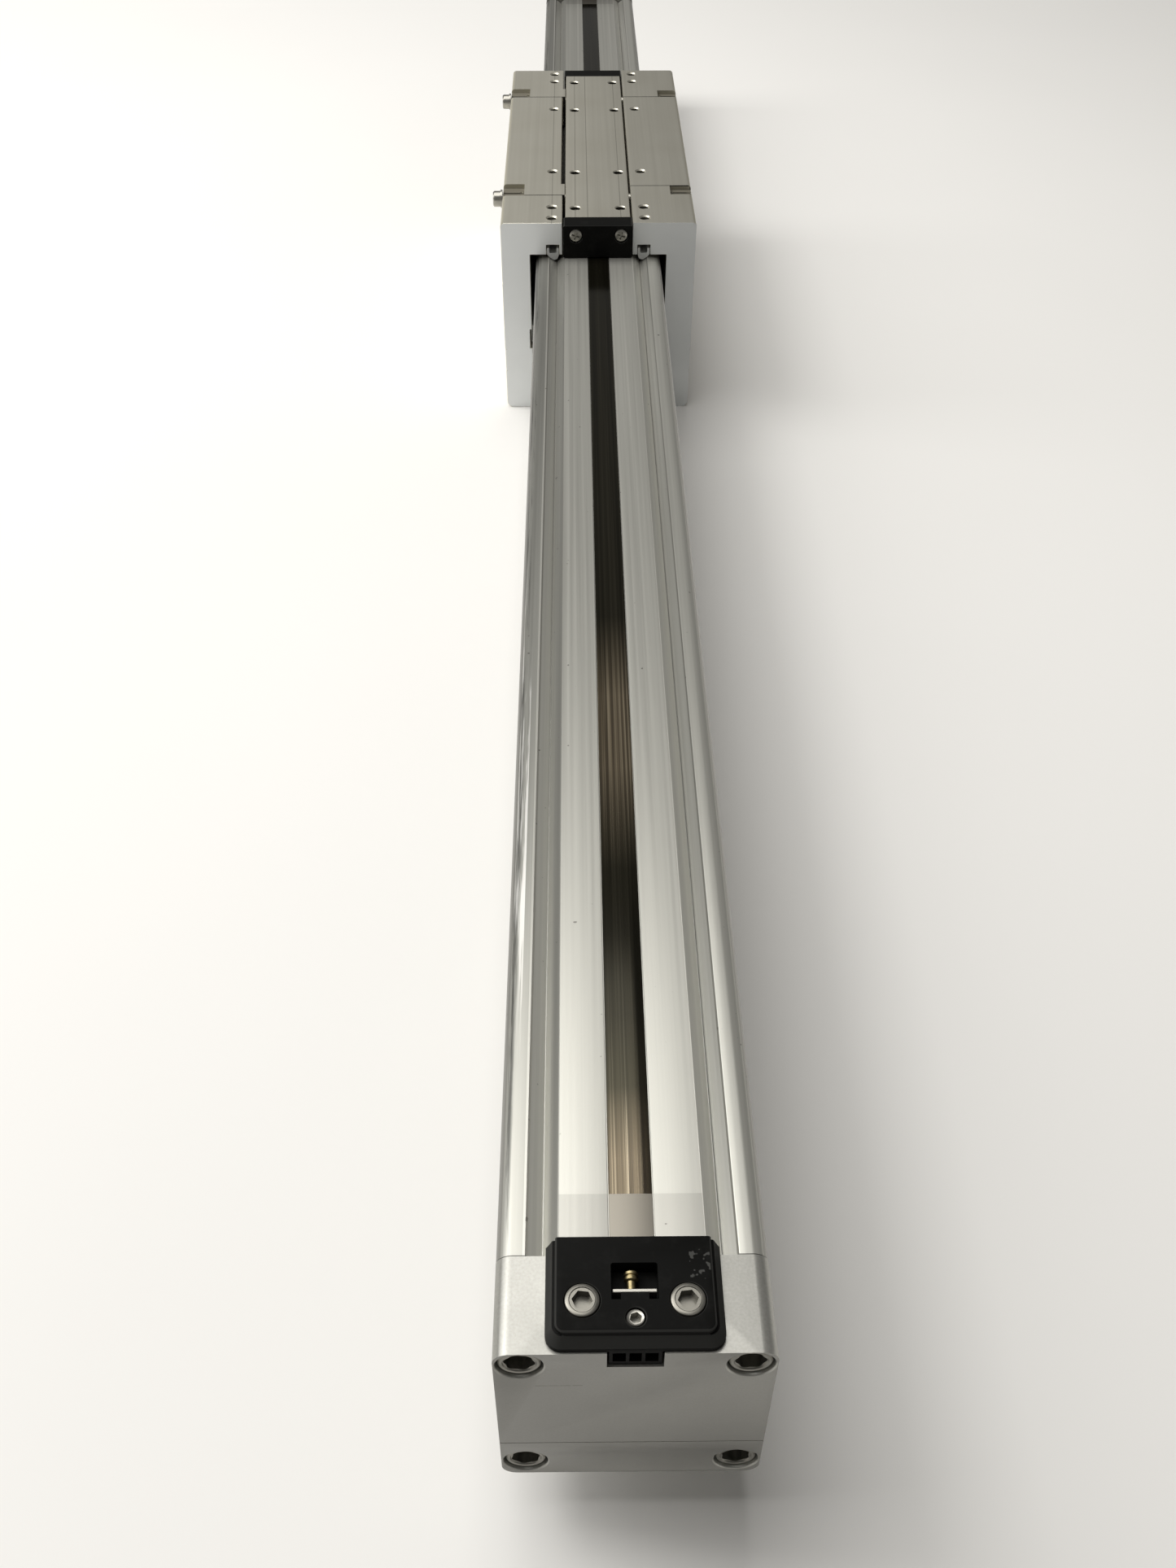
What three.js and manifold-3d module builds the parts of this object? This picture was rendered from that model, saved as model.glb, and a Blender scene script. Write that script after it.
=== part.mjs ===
// Linear guide carriage on a band-sealed rodless cylinder, in millimetres, +Z up.
// Origin: middle of the rail's length, on its centre plane, at the height of the carriage's feet.
// +Y runs along the rail to the far end; the carriage stands at its rest place on the far half.
import * as THREE from "three";
import { mergeVertices } from "three/addons/utils/BufferGeometryUtils.js";
import Module from "manifold-3d";

const wasm = await Module();
wasm.setup();

// ---- driving dimensions ------------------------------------------------------------------------
const RAIL_LENGTH = 1080; // over both end caps
const RAIL_WIDTH = 65;
const RAIL_TOP = 64.7; // flat lands beside the band, above the rail's underside
const RAIL_LIFT = 21.2; // the carriage legs reach this far below the rail
const CORNER_RADIUS = 4;
const CAP_LENGTH = 24;
const GAP = 0.3; // clearance between pieces that bear on each other

const BORE_RADIUS = 20;
const BORE_HEIGHT = 30;
const SLOT_HALF = 3.5;
const BAND_HALF = 5.35;
const BAND_SEAT_HALF = 5.6;
const BAND_THICKNESS = 0.45;
const INNER_BAND_HALF = 4.2;
const INNER_BAND_TOP = 49.95;

const CARRIAGE_LENGTH = 240;
const CARRIAGE_CENTRE = 168.5; // along Y at rest
const CARRIAGE_HALF_WIDTH = 50.4;
const FLANGE_TOP = 82.3;
const FLANGE_BOTTOM = 65.7;
const LEG_INNER = 35.5;
const SHOE_SLOT_DEPTH = 1.1; // slot in each leg's inner face for the lower shoe
const FRONT_SEAM = { left: 85.5, right: 98.2 }; // along Y, between near and middle blocks
const REAR_SEAM = { left: 239.5, right: 239.5 };
const POCKETS = { left: [[85.5, 101], [239.5, 254]], right: [[86, 98.2], [239.5, 251]] };
const POCKET_INNER = 38.9;
const POCKET_FLOOR = 80.1;
const TAB_INNER = 17.3; // left blocks reach the yoke at their tabs
const FLANGE_INNER = {
  left: { near: 18.6, middle: 19.3, far: 18.6 },
  right: { near: 17.8, middle: 17.8, far: 17.8 },
};
const YOKE_LENGTH = 222;
const YOKE_LEFT = -17;
const YOKE_RIGHT = 17.4;
const YOKE_TOP = 81.7;
const WIPER_LENGTH = 11;
const WIPER_SCREW_X = 11.7;
const WIPER_SCREW_HEIGHT = 76.4;
const YOKE_HOLE_X = 11.8;
const FLANGE_HOLE_X = 24;
const HOLE_PITCH = 49.5;
const END_HOLE_STEP = 2.287; // outermost flange holes, in pitches from the carriage's centre
const THREAD_RADIUS = 2.6;
const CLAMP_SCREW_HEIGHT = 77.3;
const CLAMP_SCREW_RADIUS = 2.5;
const CLAMP_SCREW_PLACES = [93.5, 246.5];

const CAP_SCREW_X = 26.4;
const CAP_SCREW_HEIGHTS = [7, 59];
const CAP_SCREW_INSET = 0.7;
const COVER_SCREW_X = 12;
const COVER_SCREW_INSET = 9.55; // from the end of the rail
const SET_SCREW_INSET = 5.45;
const PLATE_INSET = 11.6;
const COVER_TOP = 71.4;
const ROUND_SIDES = 24;

const NEAR_END = -RAIL_LENGTH / 2;
const FAR_END = RAIL_LENGTH / 2;
const CARRIAGE_FRONT = CARRIAGE_CENTRE - CARRIAGE_LENGTH / 2;
const CARRIAGE_REAR = CARRIAGE_CENTRE + CARRIAGE_LENGTH / 2;

// ---- finishes ----------------------------------------------------------------------------------
function finish(color, roughness, metalness) {
  return new THREE.MeshStandardMaterial({ color, roughness, metalness });
}

const anodised = finish(0xb9b7b0, 0.45, 0.85);
const blackPlastic = finish(0x1c1c1c, 0.5, 0);
const steel = finish(0xb4b2aa, 0.3, 1);
const bandSteel = finish(0x5b5246, 0.3, 1);
const brass = finish(0xb79b5a, 0.35, 1);
const shoePlastic = finish(0xb8bab6, 0.55, 0);
const sealRubber = finish(0x222222, 0.8, 0);

// ---- solids ------------------------------------------------------------------------------------
// Makes a manifold-3d solid from a closed three.js geometry.
function solid(geometry) {
  geometry.deleteAttribute("normal");
  geometry.deleteAttribute("uv");
  const merged = mergeVertices(geometry, 1e-4);
  const vertProperties = merged.attributes.position.array;
  const triVerts = new Uint32Array(merged.index.array);
  return new wasm.Manifold(new wasm.Mesh({ numProp: 3, vertProperties, triVerts }));
}

function geometryOf(manifold) {
  const mesh = manifold.getMesh();
  const geometry = new THREE.BufferGeometry();
  geometry.setAttribute("position", new THREE.BufferAttribute(mesh.vertProperties, 3));
  geometry.setIndex(new THREE.BufferAttribute(mesh.triVerts, 1));
  return geometry;
}

const cut = (body, ...tools) => tools.reduce((left, tool) => left.subtract(tool), body);
const join = (body, ...others) => others.reduce((sum, other) => sum.add(other), body);

function box(x0, x1, y0, y1, z0, z1) {
  const geometry = new THREE.BoxGeometry(x1 - x0, y1 - y0, z1 - z0);
  return solid(geometry.translate((x0 + x1) / 2, (y0 + y1) / 2, (z0 + z1) / 2));
}

// Cylinder along "x", "y" or "z" from start to end; u and v place it on the other two axes in order.
function rod(axis, radius, start, end, u, v, sides = ROUND_SIDES) {
  const geometry = new THREE.CylinderGeometry(radius, radius, end - start, sides);
  const middle = (start + end) / 2;
  if (axis === "x") geometry.rotateZ(-Math.PI / 2).translate(middle, u, v);
  if (axis === "y") geometry.translate(u, middle, v);
  if (axis === "z") geometry.rotateX(Math.PI / 2).translate(u, v, middle);
  return solid(geometry);
}

// Extrudes a shape drawn in X and Z along Y.
function alongY(shape, y0, y1) {
  const settings = { depth: y1 - y0, bevelEnabled: false, curveSegments: 12 };
  const geometry = new THREE.ExtrudeGeometry(shape, settings);
  return solid(geometry.rotateX(Math.PI / 2).translate(0, y1, 0));
}

// Extrudes a shape drawn in Y and Z along X.
function alongX(shape, x0, x1) {
  const geometry = new THREE.ExtrudeGeometry(shape, { depth: x1 - x0, bevelEnabled: false });
  const turn = new THREE.Matrix4().makeBasis(
    new THREE.Vector3(0, 1, 0),
    new THREE.Vector3(0, 0, 1),
    new THREE.Vector3(1, 0, 0),
  );
  return solid(geometry.applyMatrix4(turn).translate(x0, 0, 0));
}

function outline(points) {
  return new THREE.Shape(points.map(([x, z]) => new THREE.Vector2(x, z)));
}

function roundedRectangle(x0, x1, z0, z1, radius) {
  const shape = new THREE.Shape();
  shape.absarc(x1 - radius, z0 + radius, radius, -Math.PI / 2, 0);
  shape.absarc(x1 - radius, z1 - radius, radius, 0, Math.PI / 2);
  shape.absarc(x0 + radius, z1 - radius, radius, Math.PI / 2, Math.PI);
  shape.absarc(x0 + radius, z0 + radius, radius, Math.PI, Math.PI * 1.5);
  return shape;
}

// ---- scene graph -------------------------------------------------------------------------------
const part = new THREE.Group();
const rail = new THREE.Group(); // heights in this group count from the rail's underside
const carriage = new THREE.Group();
rail.position.z = RAIL_LIFT;
carriage.position.z = RAIL_LIFT;
part.add(rail, carriage);

function place(group, name, material, manifold) {
  const mesh = new THREE.Mesh(geometryOf(manifold), material);
  mesh.name = name;
  group.add(mesh);
}

const mirrored = (points) => points.map(([x, z]) => [-x, z]).reverse();

// ---- barrel ------------------------------------------------------------------------------------
// Right half of the outside, from the underside up to the edge of the band's seat.
function barrelFlank() {
  const side = RAIL_WIDTH / 2;
  const corner = [0, 1, 2, 3, 4].map((i) => {
    const angle = -Math.PI / 2 + (i * Math.PI) / 8;
    return [side - CORNER_RADIUS + CORNER_RADIUS * Math.cos(angle), CORNER_RADIUS * (1 + Math.sin(angle))];
  });
  const sideGroove = [[side, 13], [side - 4, 16.5], [side - 4, 21.5], [side, 25]];
  const shoulder = [0, 1, 2, 3, 4].map((i) => {
    const angle = (i * Math.PI) / 8;
    return [side - CORNER_RADIUS + CORNER_RADIUS * Math.cos(angle), 60 + CORNER_RADIUS * Math.sin(angle)];
  });
  const shoeGroove = [[25.4, 64], [25, 63.4], [21.5, 61.2], [21.5, 60.9], [21.2, 60.9], [21.2, 61.8]];
  const land = [[17.7, RAIL_TOP], [BAND_SEAT_HALF, RAIL_TOP], [BAND_SEAT_HALF, RAIL_TOP - 0.6]];
  return [...corner, ...sideGroove, ...shoulder, ...shoeGroove, ...land];
}

// The slot's right wall, down to the inner band's seat at the top of the bore.
function slotWall() {
  const seat = INNER_BAND_HALF + 0.4;
  const seatBottom = BORE_HEIGHT + Math.sqrt(BORE_RADIUS ** 2 - seat ** 2);
  return [[SLOT_HALF, RAIL_TOP - 0.6], [SLOT_HALF, 50.4], [seat, 50.4], [seat, seatBottom]];
}

function barrelShape() {
  const right = [...barrelFlank(), ...slotWall()];
  const [edgeX, edgeZ] = right[right.length - 1];
  const edgeAngle = Math.atan2(edgeZ - BORE_HEIGHT, edgeX);
  const steps = 36;
  const bore = [];
  for (let i = 1; i < steps; i++) {
    const angle = edgeAngle - (i / steps) * (Math.PI + 2 * edgeAngle);
    bore.push([BORE_RADIUS * Math.cos(angle), BORE_HEIGHT + BORE_RADIUS * Math.sin(angle)]);
  }
  return outline([...right, ...bore, ...mirrored(right)]);
}

// Hollow chambers and screw channels that run the whole length of the extrusion.
function barrelChambers(y0, y1) {
  const upper = [[7, 53.3], [11, 51.5], [15, 48.5], [19, 44.5], [22.5, 41.5], [28.5, 42], [28.5, 53],
    [22, 56], [17, 60.5], [7, 60.5]];
  const lower = [[3, 3.5], [20.5, 3.5], [21.5, 9.8], [25.3, 12.8], [25.3, 26], [23.5, 22], [20.5, 17.3],
    [16, 12.4], [10, 8.4], [3, 6.3]];
  const hollows = [];
  for (const chamber of [upper, lower]) {
    hollows.push(alongY(outline(chamber), y0, y1));
    hollows.push(alongY(outline(mirrored(chamber)), y0, y1));
  }
  for (const side of [-1, 1]) {
    for (const height of CAP_SCREW_HEIGHTS) {
      hollows.push(rod("y", 2.8, y0, y1, side * CAP_SCREW_X, height, 12));
    }
  }
  return hollows;
}

function barrel() {
  const y0 = NEAR_END + CAP_LENGTH + GAP;
  const y1 = FAR_END - CAP_LENGTH - GAP;
  return cut(alongY(barrelShape(), y0, y1), ...barrelChambers(y0 - 1, y1 + 1));
}

// ---- rail ends ---------------------------------------------------------------------------------
// Every end piece is drawn at the near end; the far end is the same piece turned half way round.
function endCap() {
  const y0 = NEAR_END;
  const y1 = NEAR_END + CAP_LENGTH;
  const block = alongY(roundedRectangle(-RAIL_WIDTH / 2, RAIL_WIDTH / 2, 0, 64.9, CORNER_RADIUS), y0, y1);
  const boss = rod("y", BORE_RADIUS - GAP, y1 - 1, y1 + 8, 0, BORE_HEIGHT, 36);
  const ringGroove = cut(
    rod("y", BORE_RADIUS + 1, y1 + 3, y1 + 6, 0, BORE_HEIGHT, 36),
    rod("y", BORE_RADIUS - 2.4, y1 + 2, y1 + 7, 0, BORE_HEIGHT, 36),
  );
  const slotRelief = box(-6, 6, y1 + 0.01, y1 + 9, 48.5, 51);
  const spigotSocket = rod("y", 7.3, y1 + 2, y1 + 9, 0, BORE_HEIGHT);
  const bandNotch = box(-6.5, 6.5, y0 - 1, y1 + 1, 58.5, 66);
  const port = rod("x", 6.9, 18, 40, y0 + 12, 34);
  const tools = [ringGroove, slotRelief, spigotSocket, bandNotch, port];
  for (const side of [-1, 1]) {
    for (const height of CAP_SCREW_HEIGHTS) {
      tools.push(rod("y", 2.8, y0 - 1, y1 + 1, side * CAP_SCREW_X, height, 16));
      tools.push(rod("y", 5.6, y0 - 1, y0 + 6.5, side * CAP_SCREW_X, height));
    }
    tools.push(rod("z", 2.3, 54, 66, side * COVER_SCREW_X, y0 + COVER_SCREW_INSET, 16));
  }
  return cut(join(block, boss), ...tools);
}

// Hexagon-socket screw along Y with its head's outer face at y0.
function capScrew(x, height) {
  const y0 = NEAR_END + CAP_SCREW_INSET;
  const head = rod("y", 5.1, y0, y0 + 5.5, x, height);
  const shank = rod("y", 2.5, y0 + 5.4, y0 + 34, x, height, 16);
  return cut(join(head, shank), rod("y", 3.4, y0 - 1, y0 + 3.2, x, height, 6));
}

function bandCover() {
  const y0 = NEAR_END;
  const base = alongY(outline([[-20.5, 65.2], [20.5, 65.2], [20.2, 67.6], [18, 70.9], [17.5, COVER_TOP],
    [-17.5, COVER_TOP], [-18, 70.9], [-20.2, 67.6]]), y0 + 0.4, y0 + 25.2);
  const tongue = box(-6, 6, y0 + 0.4, y0 + 11, 59, 65.3);
  const window = box(-5.4, 5.4, y0 + 11.3, y0 + 18.6, 66.9, 73);
  const bandSlot = box(-6, 6, y0 + 11, y0 + 26, 64, 66.3);
  const tools = [window, bandSlot, rod("z", 2.4, 58, 73, 0, y0 + SET_SCREW_INSET, 16)];
  for (const side of [-1, 1]) {
    tools.push(rod("z", 2.3, 64, 73, side * COVER_SCREW_X, y0 + COVER_SCREW_INSET, 16));
    tools.push(rod("z", 4.3, 68, 73, side * COVER_SCREW_X, y0 + COVER_SCREW_INSET));
  }
  return cut(join(base, tongue), ...tools);
}

function coverScrew(side) {
  const x = side * COVER_SCREW_X;
  const y = NEAR_END + COVER_SCREW_INSET;
  const head = rod("z", 4.05, 68.3, 71.7, x, y);
  const shank = rod("z", 2, 55, 68.4, x, y, 16);
  return cut(join(head, shank), rod("z", 2.4, 69.4, 73, x, y, 6));
}

function clampSetScrew() {
  const y = NEAR_END + SET_SCREW_INSET;
  return cut(rod("z", 2.15, 59.5, 71.1, 0, y, 16), rod("z", 1.4, 68.5, 73, 0, y, 6));
}

// Upright plate in the cover's window, and the pin that stands out from it towards the carriage.
function clampPlate() {
  const y = NEAR_END + PLATE_INSET;
  return box(-5.1, 5.1, y, y + 0.9, 67.1, 70.9);
}

function clampPin() {
  const y = NEAR_END + PLATE_INSET + 0.9 + 0.1;
  const shaft = rod("y", 1.1, y, y + 5, -0.7, 69, 16);
  const collar = rod("y", 1.7, y + 2.6, y + 4.6, -0.7, 69, 16);
  return join(shaft, collar);
}

function bossRing() {
  const y = NEAR_END + CAP_LENGTH + 3.3;
  return cut(rod("y", 19.8, y, y + 2.4, 0, BORE_HEIGHT, 36), rod("y", 17.9, y - 1, y + 4, 0, BORE_HEIGHT, 36),
    box(-6, 6, y - 1, y + 4, 48.2, 51));
}

function cushionSpigot() {
  const y = NEAR_END + CAP_LENGTH + 2.3;
  return cut(rod("y", 7, y, y + 24, 0, BORE_HEIGHT), rod("y", 3, y + 4, y + 25, 0, BORE_HEIGHT, 12));
}

function portPlug() {
  const x = RAIL_WIDTH / 2;
  const y = NEAR_END + 12;
  return cut(rod("x", 6.6, x - 10, x - 0.5, y, 34), rod("x", 3.4, x - 5, x + 1, y, 34, 6));
}

function buildEnds() {
  const pieces = [
    ["end_cap", anodised, endCap()],
    ["band_cover", blackPlastic, bandCover()],
    ["cover_screw_left", steel, coverScrew(-1)],
    ["cover_screw_right", steel, coverScrew(1)],
    ["clamp_set_screw", steel, clampSetScrew()],
    ["clamp_plate", steel, clampPlate()],
    ["clamp_pin", brass, clampPin()],
    ["boss_ring", sealRubber, bossRing()],
    ["cushion_spigot", steel, cushionSpigot()],
    ["port_plug", steel, portPlug()],
  ];
  for (const [column, side] of [["left", -1], ["right", 1]]) {
    for (const [row, height] of [["lower", CAP_SCREW_HEIGHTS[0]], ["upper", CAP_SCREW_HEIGHTS[1]]]) {
      pieces.push([`cap_screw_${row}_${column}`, steel, capScrew(side * CAP_SCREW_X, height)]);
    }
  }
  for (const end of ["near", "far"]) {
    const group = new THREE.Group();
    group.rotation.z = end === "far" ? Math.PI : 0;
    rail.add(group);
    for (const [name, material, manifold] of pieces) place(group, `${end}_${name}`, material, manifold);
  }
}

// ---- sealing bands -----------------------------------------------------------------------------
// Height offset of a band near the carriage: 0 outside, 1 over the middle, with smooth ramps.
function ramp(y, flatHalf, rampLength) {
  const t = (Math.abs(y - CARRIAGE_CENTRE) - flatHalf) / rampLength;
  return 0.5 + 0.5 * Math.cos(Math.PI * Math.min(1, Math.max(0, t)));
}

function band(y0, y1, half, bottom, thickness, flatHalf, rampLength, rise) {
  const reach = flatHalf + rampLength;
  const stations = [y0];
  for (let i = 0; i <= 8; i++) stations.push(CARRIAGE_CENTRE - reach + (i * rampLength) / 8);
  for (let i = 0; i <= 8; i++) stations.push(CARRIAGE_CENTRE + flatHalf + (i * rampLength) / 8);
  stations.push(y1);
  const lower = stations.map((y) => [y, bottom + rise * ramp(y, flatHalf, rampLength)]);
  const upper = lower.map(([y, z]) => [y, z + thickness]).reverse();
  return alongX(outline([...lower, ...upper]), -half, half);
}

function buildRail() {
  place(rail, "barrel", anodised, barrel());
  buildEnds();
  const outer = band(NEAR_END + 13, FAR_END - 13, BAND_HALF, RAIL_TOP - 0.3, BAND_THICKNESS, 50, 45, 6.2);
  place(rail, "outer_band", bandSteel, outer);
  const innerEnd = RAIL_LENGTH / 2 - CAP_LENGTH - 1;
  const inner = band(-innerEnd, innerEnd, INNER_BAND_HALF, INNER_BAND_TOP - 0.4, 0.4, 40, 45, -6.8);
  place(rail, "inner_band", bandSteel, inner);
}

// ---- piston ------------------------------------------------------------------------------------
// Round core in the bore, with a web through the slot and a bridge plate under the yoke.
function pistonCore() {
  const half = 128;
  const y0 = CARRIAGE_CENTRE - half;
  const y1 = CARRIAGE_CENTRE + half;
  const core = rod("y", 18.8, y0, y1, 0, BORE_HEIGHT, 36);
  const tools = [];
  for (const side of [-1, 1]) {
    const end = CARRIAGE_CENTRE + side * half;
    const span = (near, far) => [end - side * near, end - side * far].sort((a, b) => a - b);
    tools.push(rod("y", 9, ...span(-1, 75), 0, BORE_HEIGHT));
    const sealGroove = rod("y", 21, ...span(6, 13), 0, BORE_HEIGHT, 36);
    tools.push(cut(sealGroove, rod("y", 16.6, ...span(5, 14), 0, BORE_HEIGHT, 36)));
    const ramps = [CARRIAGE_CENTRE + side * 34, CARRIAGE_CENTRE + side * 92].sort((a, b) => a - b);
    tools.push(box(-5.2, 5.2, ...ramps, 41.5, 52));
  }
  tools.push(box(-5.2, 5.2, CARRIAGE_CENTRE - 35, CARRIAGE_CENTRE + 35, 41.5, 45));
  const web = box(-3, 3, CARRIAGE_CENTRE - 33, CARRIAGE_CENTRE + 33, 45.5, 66);
  const bridge = box(-15, 15, CARRIAGE_CENTRE - 45, CARRIAGE_CENTRE + 45, 65.2, 68.6);
  return join(cut(core, ...tools), web, bridge);
}

function pistonSeal(side) {
  const middle = CARRIAGE_CENTRE + side * 118.5;
  return cut(rod("y", 19.3, middle - 3, middle + 3, 0, BORE_HEIGHT, 36),
    rod("y", 16.9, middle - 4, middle + 4, 0, BORE_HEIGHT, 36));
}

// ---- yoke and wiper covers ---------------------------------------------------------------------
function threadedHole(x, y, top, depth) {
  return rod("z", THREAD_RADIUS, top - depth, top + 1, x, y, 12);
}

function yoke() {
  const y0 = CARRIAGE_CENTRE - YOKE_LENGTH / 2;
  const y1 = CARRIAGE_CENTRE + YOKE_LENGTH / 2;
  const block = box(YOKE_LEFT, YOKE_RIGHT, y0, y1, 65.2, YOKE_TOP);
  const bandChannel = box(-6.2, 6.2, y0 - 1, y1 + 1, 64, 73.5);
  const bridgePocket = box(-15.4, 15.4, CARRIAGE_CENTRE - 45.5, CARRIAGE_CENTRE + 45.5, 64, 68.9);
  const tools = [bandChannel, bridgePocket];
  for (const side of [-1, 1]) {
    for (const step of [-2, -1, 1, 2]) {
      tools.push(threadedHole(side * YOKE_HOLE_X, CARRIAGE_CENTRE + step * HOLE_PITCH, YOKE_TOP, 11));
    }
    for (const y of CLAMP_SCREW_PLACES) {
      const edge = side < 0 ? YOKE_LEFT : YOKE_RIGHT;
      const [x0, x1] = [edge - side * 8, edge + side].sort((a, b) => a - b);
      tools.push(rod("x", 2.9, x0, x1, y, CLAMP_SCREW_HEIGHT, 16));
    }
    for (const y of [y0, y1]) {
      tools.push(rod("y", 1.8, y - 9, y + 9, side * WIPER_SCREW_X, WIPER_SCREW_HEIGHT, 12));
    }
  }
  return cut(block, ...tools);
}

// side -1 is the cover at the near end of the yoke, +1 the one at its far end.
function wiperCover(side) {
  const inner = CARRIAGE_CENTRE + side * (YOKE_LENGTH / 2 + GAP);
  const outer = inner + side * WIPER_LENGTH;
  const [y0, y1] = [inner, outer].sort((a, b) => a - b);
  const block = box(-18, 17.5, y0, y1, RAIL_TOP + 0.4, YOKE_TOP);
  const tools = [box(-5.8, 5.8, y0 - 1, y1 + 1, 64, RAIL_TOP + 0.8)];
  for (const x of [-WIPER_SCREW_X, WIPER_SCREW_X]) {
    tools.push(rod("y", 1.8, y0 - 1, y1 + 1, x, WIPER_SCREW_HEIGHT, 12));
    const [h0, h1] = [outer - side * 2, outer + side].sort((a, b) => a - b);
    tools.push(rod("y", 3.6, h0, h1, x, WIPER_SCREW_HEIGHT, 16));
  }
  return cut(block, ...tools);
}

function wiperScrew(side, x) {
  const outer = CARRIAGE_CENTRE + side * (YOKE_LENGTH / 2 + GAP + WIPER_LENGTH - 0.1);
  const span = (near, far) => [outer - side * near, outer - side * far].sort((a, b) => a - b);
  const head = rod("y", 3.3, ...span(0, 1.6), x, WIPER_SCREW_HEIGHT, 16);
  const shank = rod("y", 1.5, ...span(1.5, 17), x, WIPER_SCREW_HEIGHT, 12);
  const recess = span(-1, 0.8);
  const across = box(x - 1.9, x + 1.9, ...recess, WIPER_SCREW_HEIGHT - 0.4, WIPER_SCREW_HEIGHT + 0.4);
  const upright = box(x - 0.4, x + 0.4, ...recess, WIPER_SCREW_HEIGHT - 1.9, WIPER_SCREW_HEIGHT + 1.9);
  return cut(join(head, shank), across, upright);
}

// ---- guide blocks ------------------------------------------------------------------------------
// Section of a block on the right side; inner is where its flange ends beside the yoke.
function blockSection(inner) {
  const outer = CARRIAGE_HALF_WIDTH;
  const foot = -RAIL_LIFT;
  const slot = LEG_INNER + SHOE_SLOT_DEPTH;
  return [
    [inner, FLANGE_BOTTOM], [20.2, FLANGE_BOTTOM], [20.2, 70.9], [27, 70.9], [27, FLANGE_BOTTOM],
    [LEG_INNER, FLANGE_BOTTOM], [LEG_INNER, 24.6], [slot, 24.6], [slot, 13.9], [LEG_INNER, 13.9],
    [LEG_INNER, foot + 2], [LEG_INNER + 2, foot], [outer - 3.2, foot], [outer - 1, foot + 0.8],
    [outer - 0.2, foot + 3], [outer - 0.2, 0.4],
    [outer - 0.7, 0.7], [outer - 0.2, 1], [outer - 0.2, 13], [outer - 0.7, 13.3], [outer, 13.6],
    [outer, 50.2], [outer - 0.5, 50.5], [outer, 50.8], [outer, 80], [outer - 0.7, 81.6],
    [outer - 2.3, FLANGE_TOP], [inner, FLANGE_TOP],
  ];
}

function guideBlock(hand, y0, y1, inner) {
  const side = hand === "left" ? -1 : 1;
  const section = blockSection(inner);
  const shape = outline(side > 0 ? section : mirrored(section));
  let block = alongY(shape, y0, y1);
  const acrossX = (a, b) => [side * a, side * b].sort((p, q) => p - q);
  const within = (y) => y > y0 - 1 && y < y1 + 1;
  for (const [p0, p1] of POCKETS[hand]) {
    if (!within((p0 + p1) / 2)) continue;
    const [q0, q1] = [Math.max(p0, y0), Math.min(p1, y1)];
    if (side < 0) {
      block = join(block, box(...acrossX(TAB_INNER, inner + 1), q0, q1, FLANGE_BOTTOM, FLANGE_TOP));
    }
    const before = q0 === y0 ? 1 : 0;
    const after = q1 === y1 ? 1 : 0;
    block = cut(block, box(...acrossX(POCKET_INNER, 55), q0 - before, q1 + after, POCKET_FLOOR, 84));
  }
  const tools = [];
  for (const step of [-END_HOLE_STEP, -2, -1, 1, 2, END_HOLE_STEP]) {
    const y = CARRIAGE_CENTRE + step * HOLE_PITCH;
    if (within(y)) tools.push(threadedHole(side * FLANGE_HOLE_X, y, FLANGE_TOP, 10));
  }
  for (const y of CLAMP_SCREW_PLACES) {
    if (within(y)) tools.push(rod("x", 2.9, ...acrossX(15, 55), y, CLAMP_SCREW_HEIGHT, 16));
  }
  return cut(block, ...tools);
}

function clampScrew(hand, y) {
  if (hand === "right") {
    const screw = rod("x", CLAMP_SCREW_RADIUS, YOKE_RIGHT - 7, 48.6, y, CLAMP_SCREW_HEIGHT, 16);
    return cut(screw, rod("x", 1.3, 45.5, 50, y, CLAMP_SCREW_HEIGHT, 6));
  }
  const face = -CARRIAGE_HALF_WIDTH - GAP;
  const shank = rod("x", CLAMP_SCREW_RADIUS, face - 1, YOKE_LEFT + 7, y, CLAMP_SCREW_HEIGHT, 16);
  const washer = rod("x", 4.6, face - 1, face, y, CLAMP_SCREW_HEIGHT);
  const head = rod("x", 4, face - 5, face - 0.9, y, CLAMP_SCREW_HEIGHT);
  return cut(join(shank, washer, head), rod("x", 2, face - 6, face - 2.5, y, CLAMP_SCREW_HEIGHT, 6));
}

// Slide strips: the upper pair runs in the rail's top grooves, the lower pair in its side grooves.
function upperShoe(hand) {
  const section = [
    [20.5, 65.8], [20.9, 64.3], [21.8, 63.1], [23, 62.7], [24.2, 63.2], [25.3, 64.2], [26.2, 65.1],
    [26.7, 66.4], [26.7, 69], [25.4, 69], [25.4, 67.2], [21.8, 67.2], [21.8, 69], [20.5, 69],
  ];
  const shape = outline(hand === "right" ? section : mirrored(section));
  return alongY(shape, CARRIAGE_FRONT + 0.5, CARRIAGE_REAR - 0.5);
}

function lowerShoe(hand) {
  const outer = LEG_INNER + SHOE_SLOT_DEPTH - GAP;
  const section = [[29.2, 17.6], [33, 14.2], [outer, 14.2], [outer, 24.3], [33, 24.3], [29.2, 20.9]];
  const shape = outline(hand === "right" ? section : mirrored(section));
  return alongY(shape, CARRIAGE_FRONT + 6, CARRIAGE_REAR - 6);
}

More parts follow.
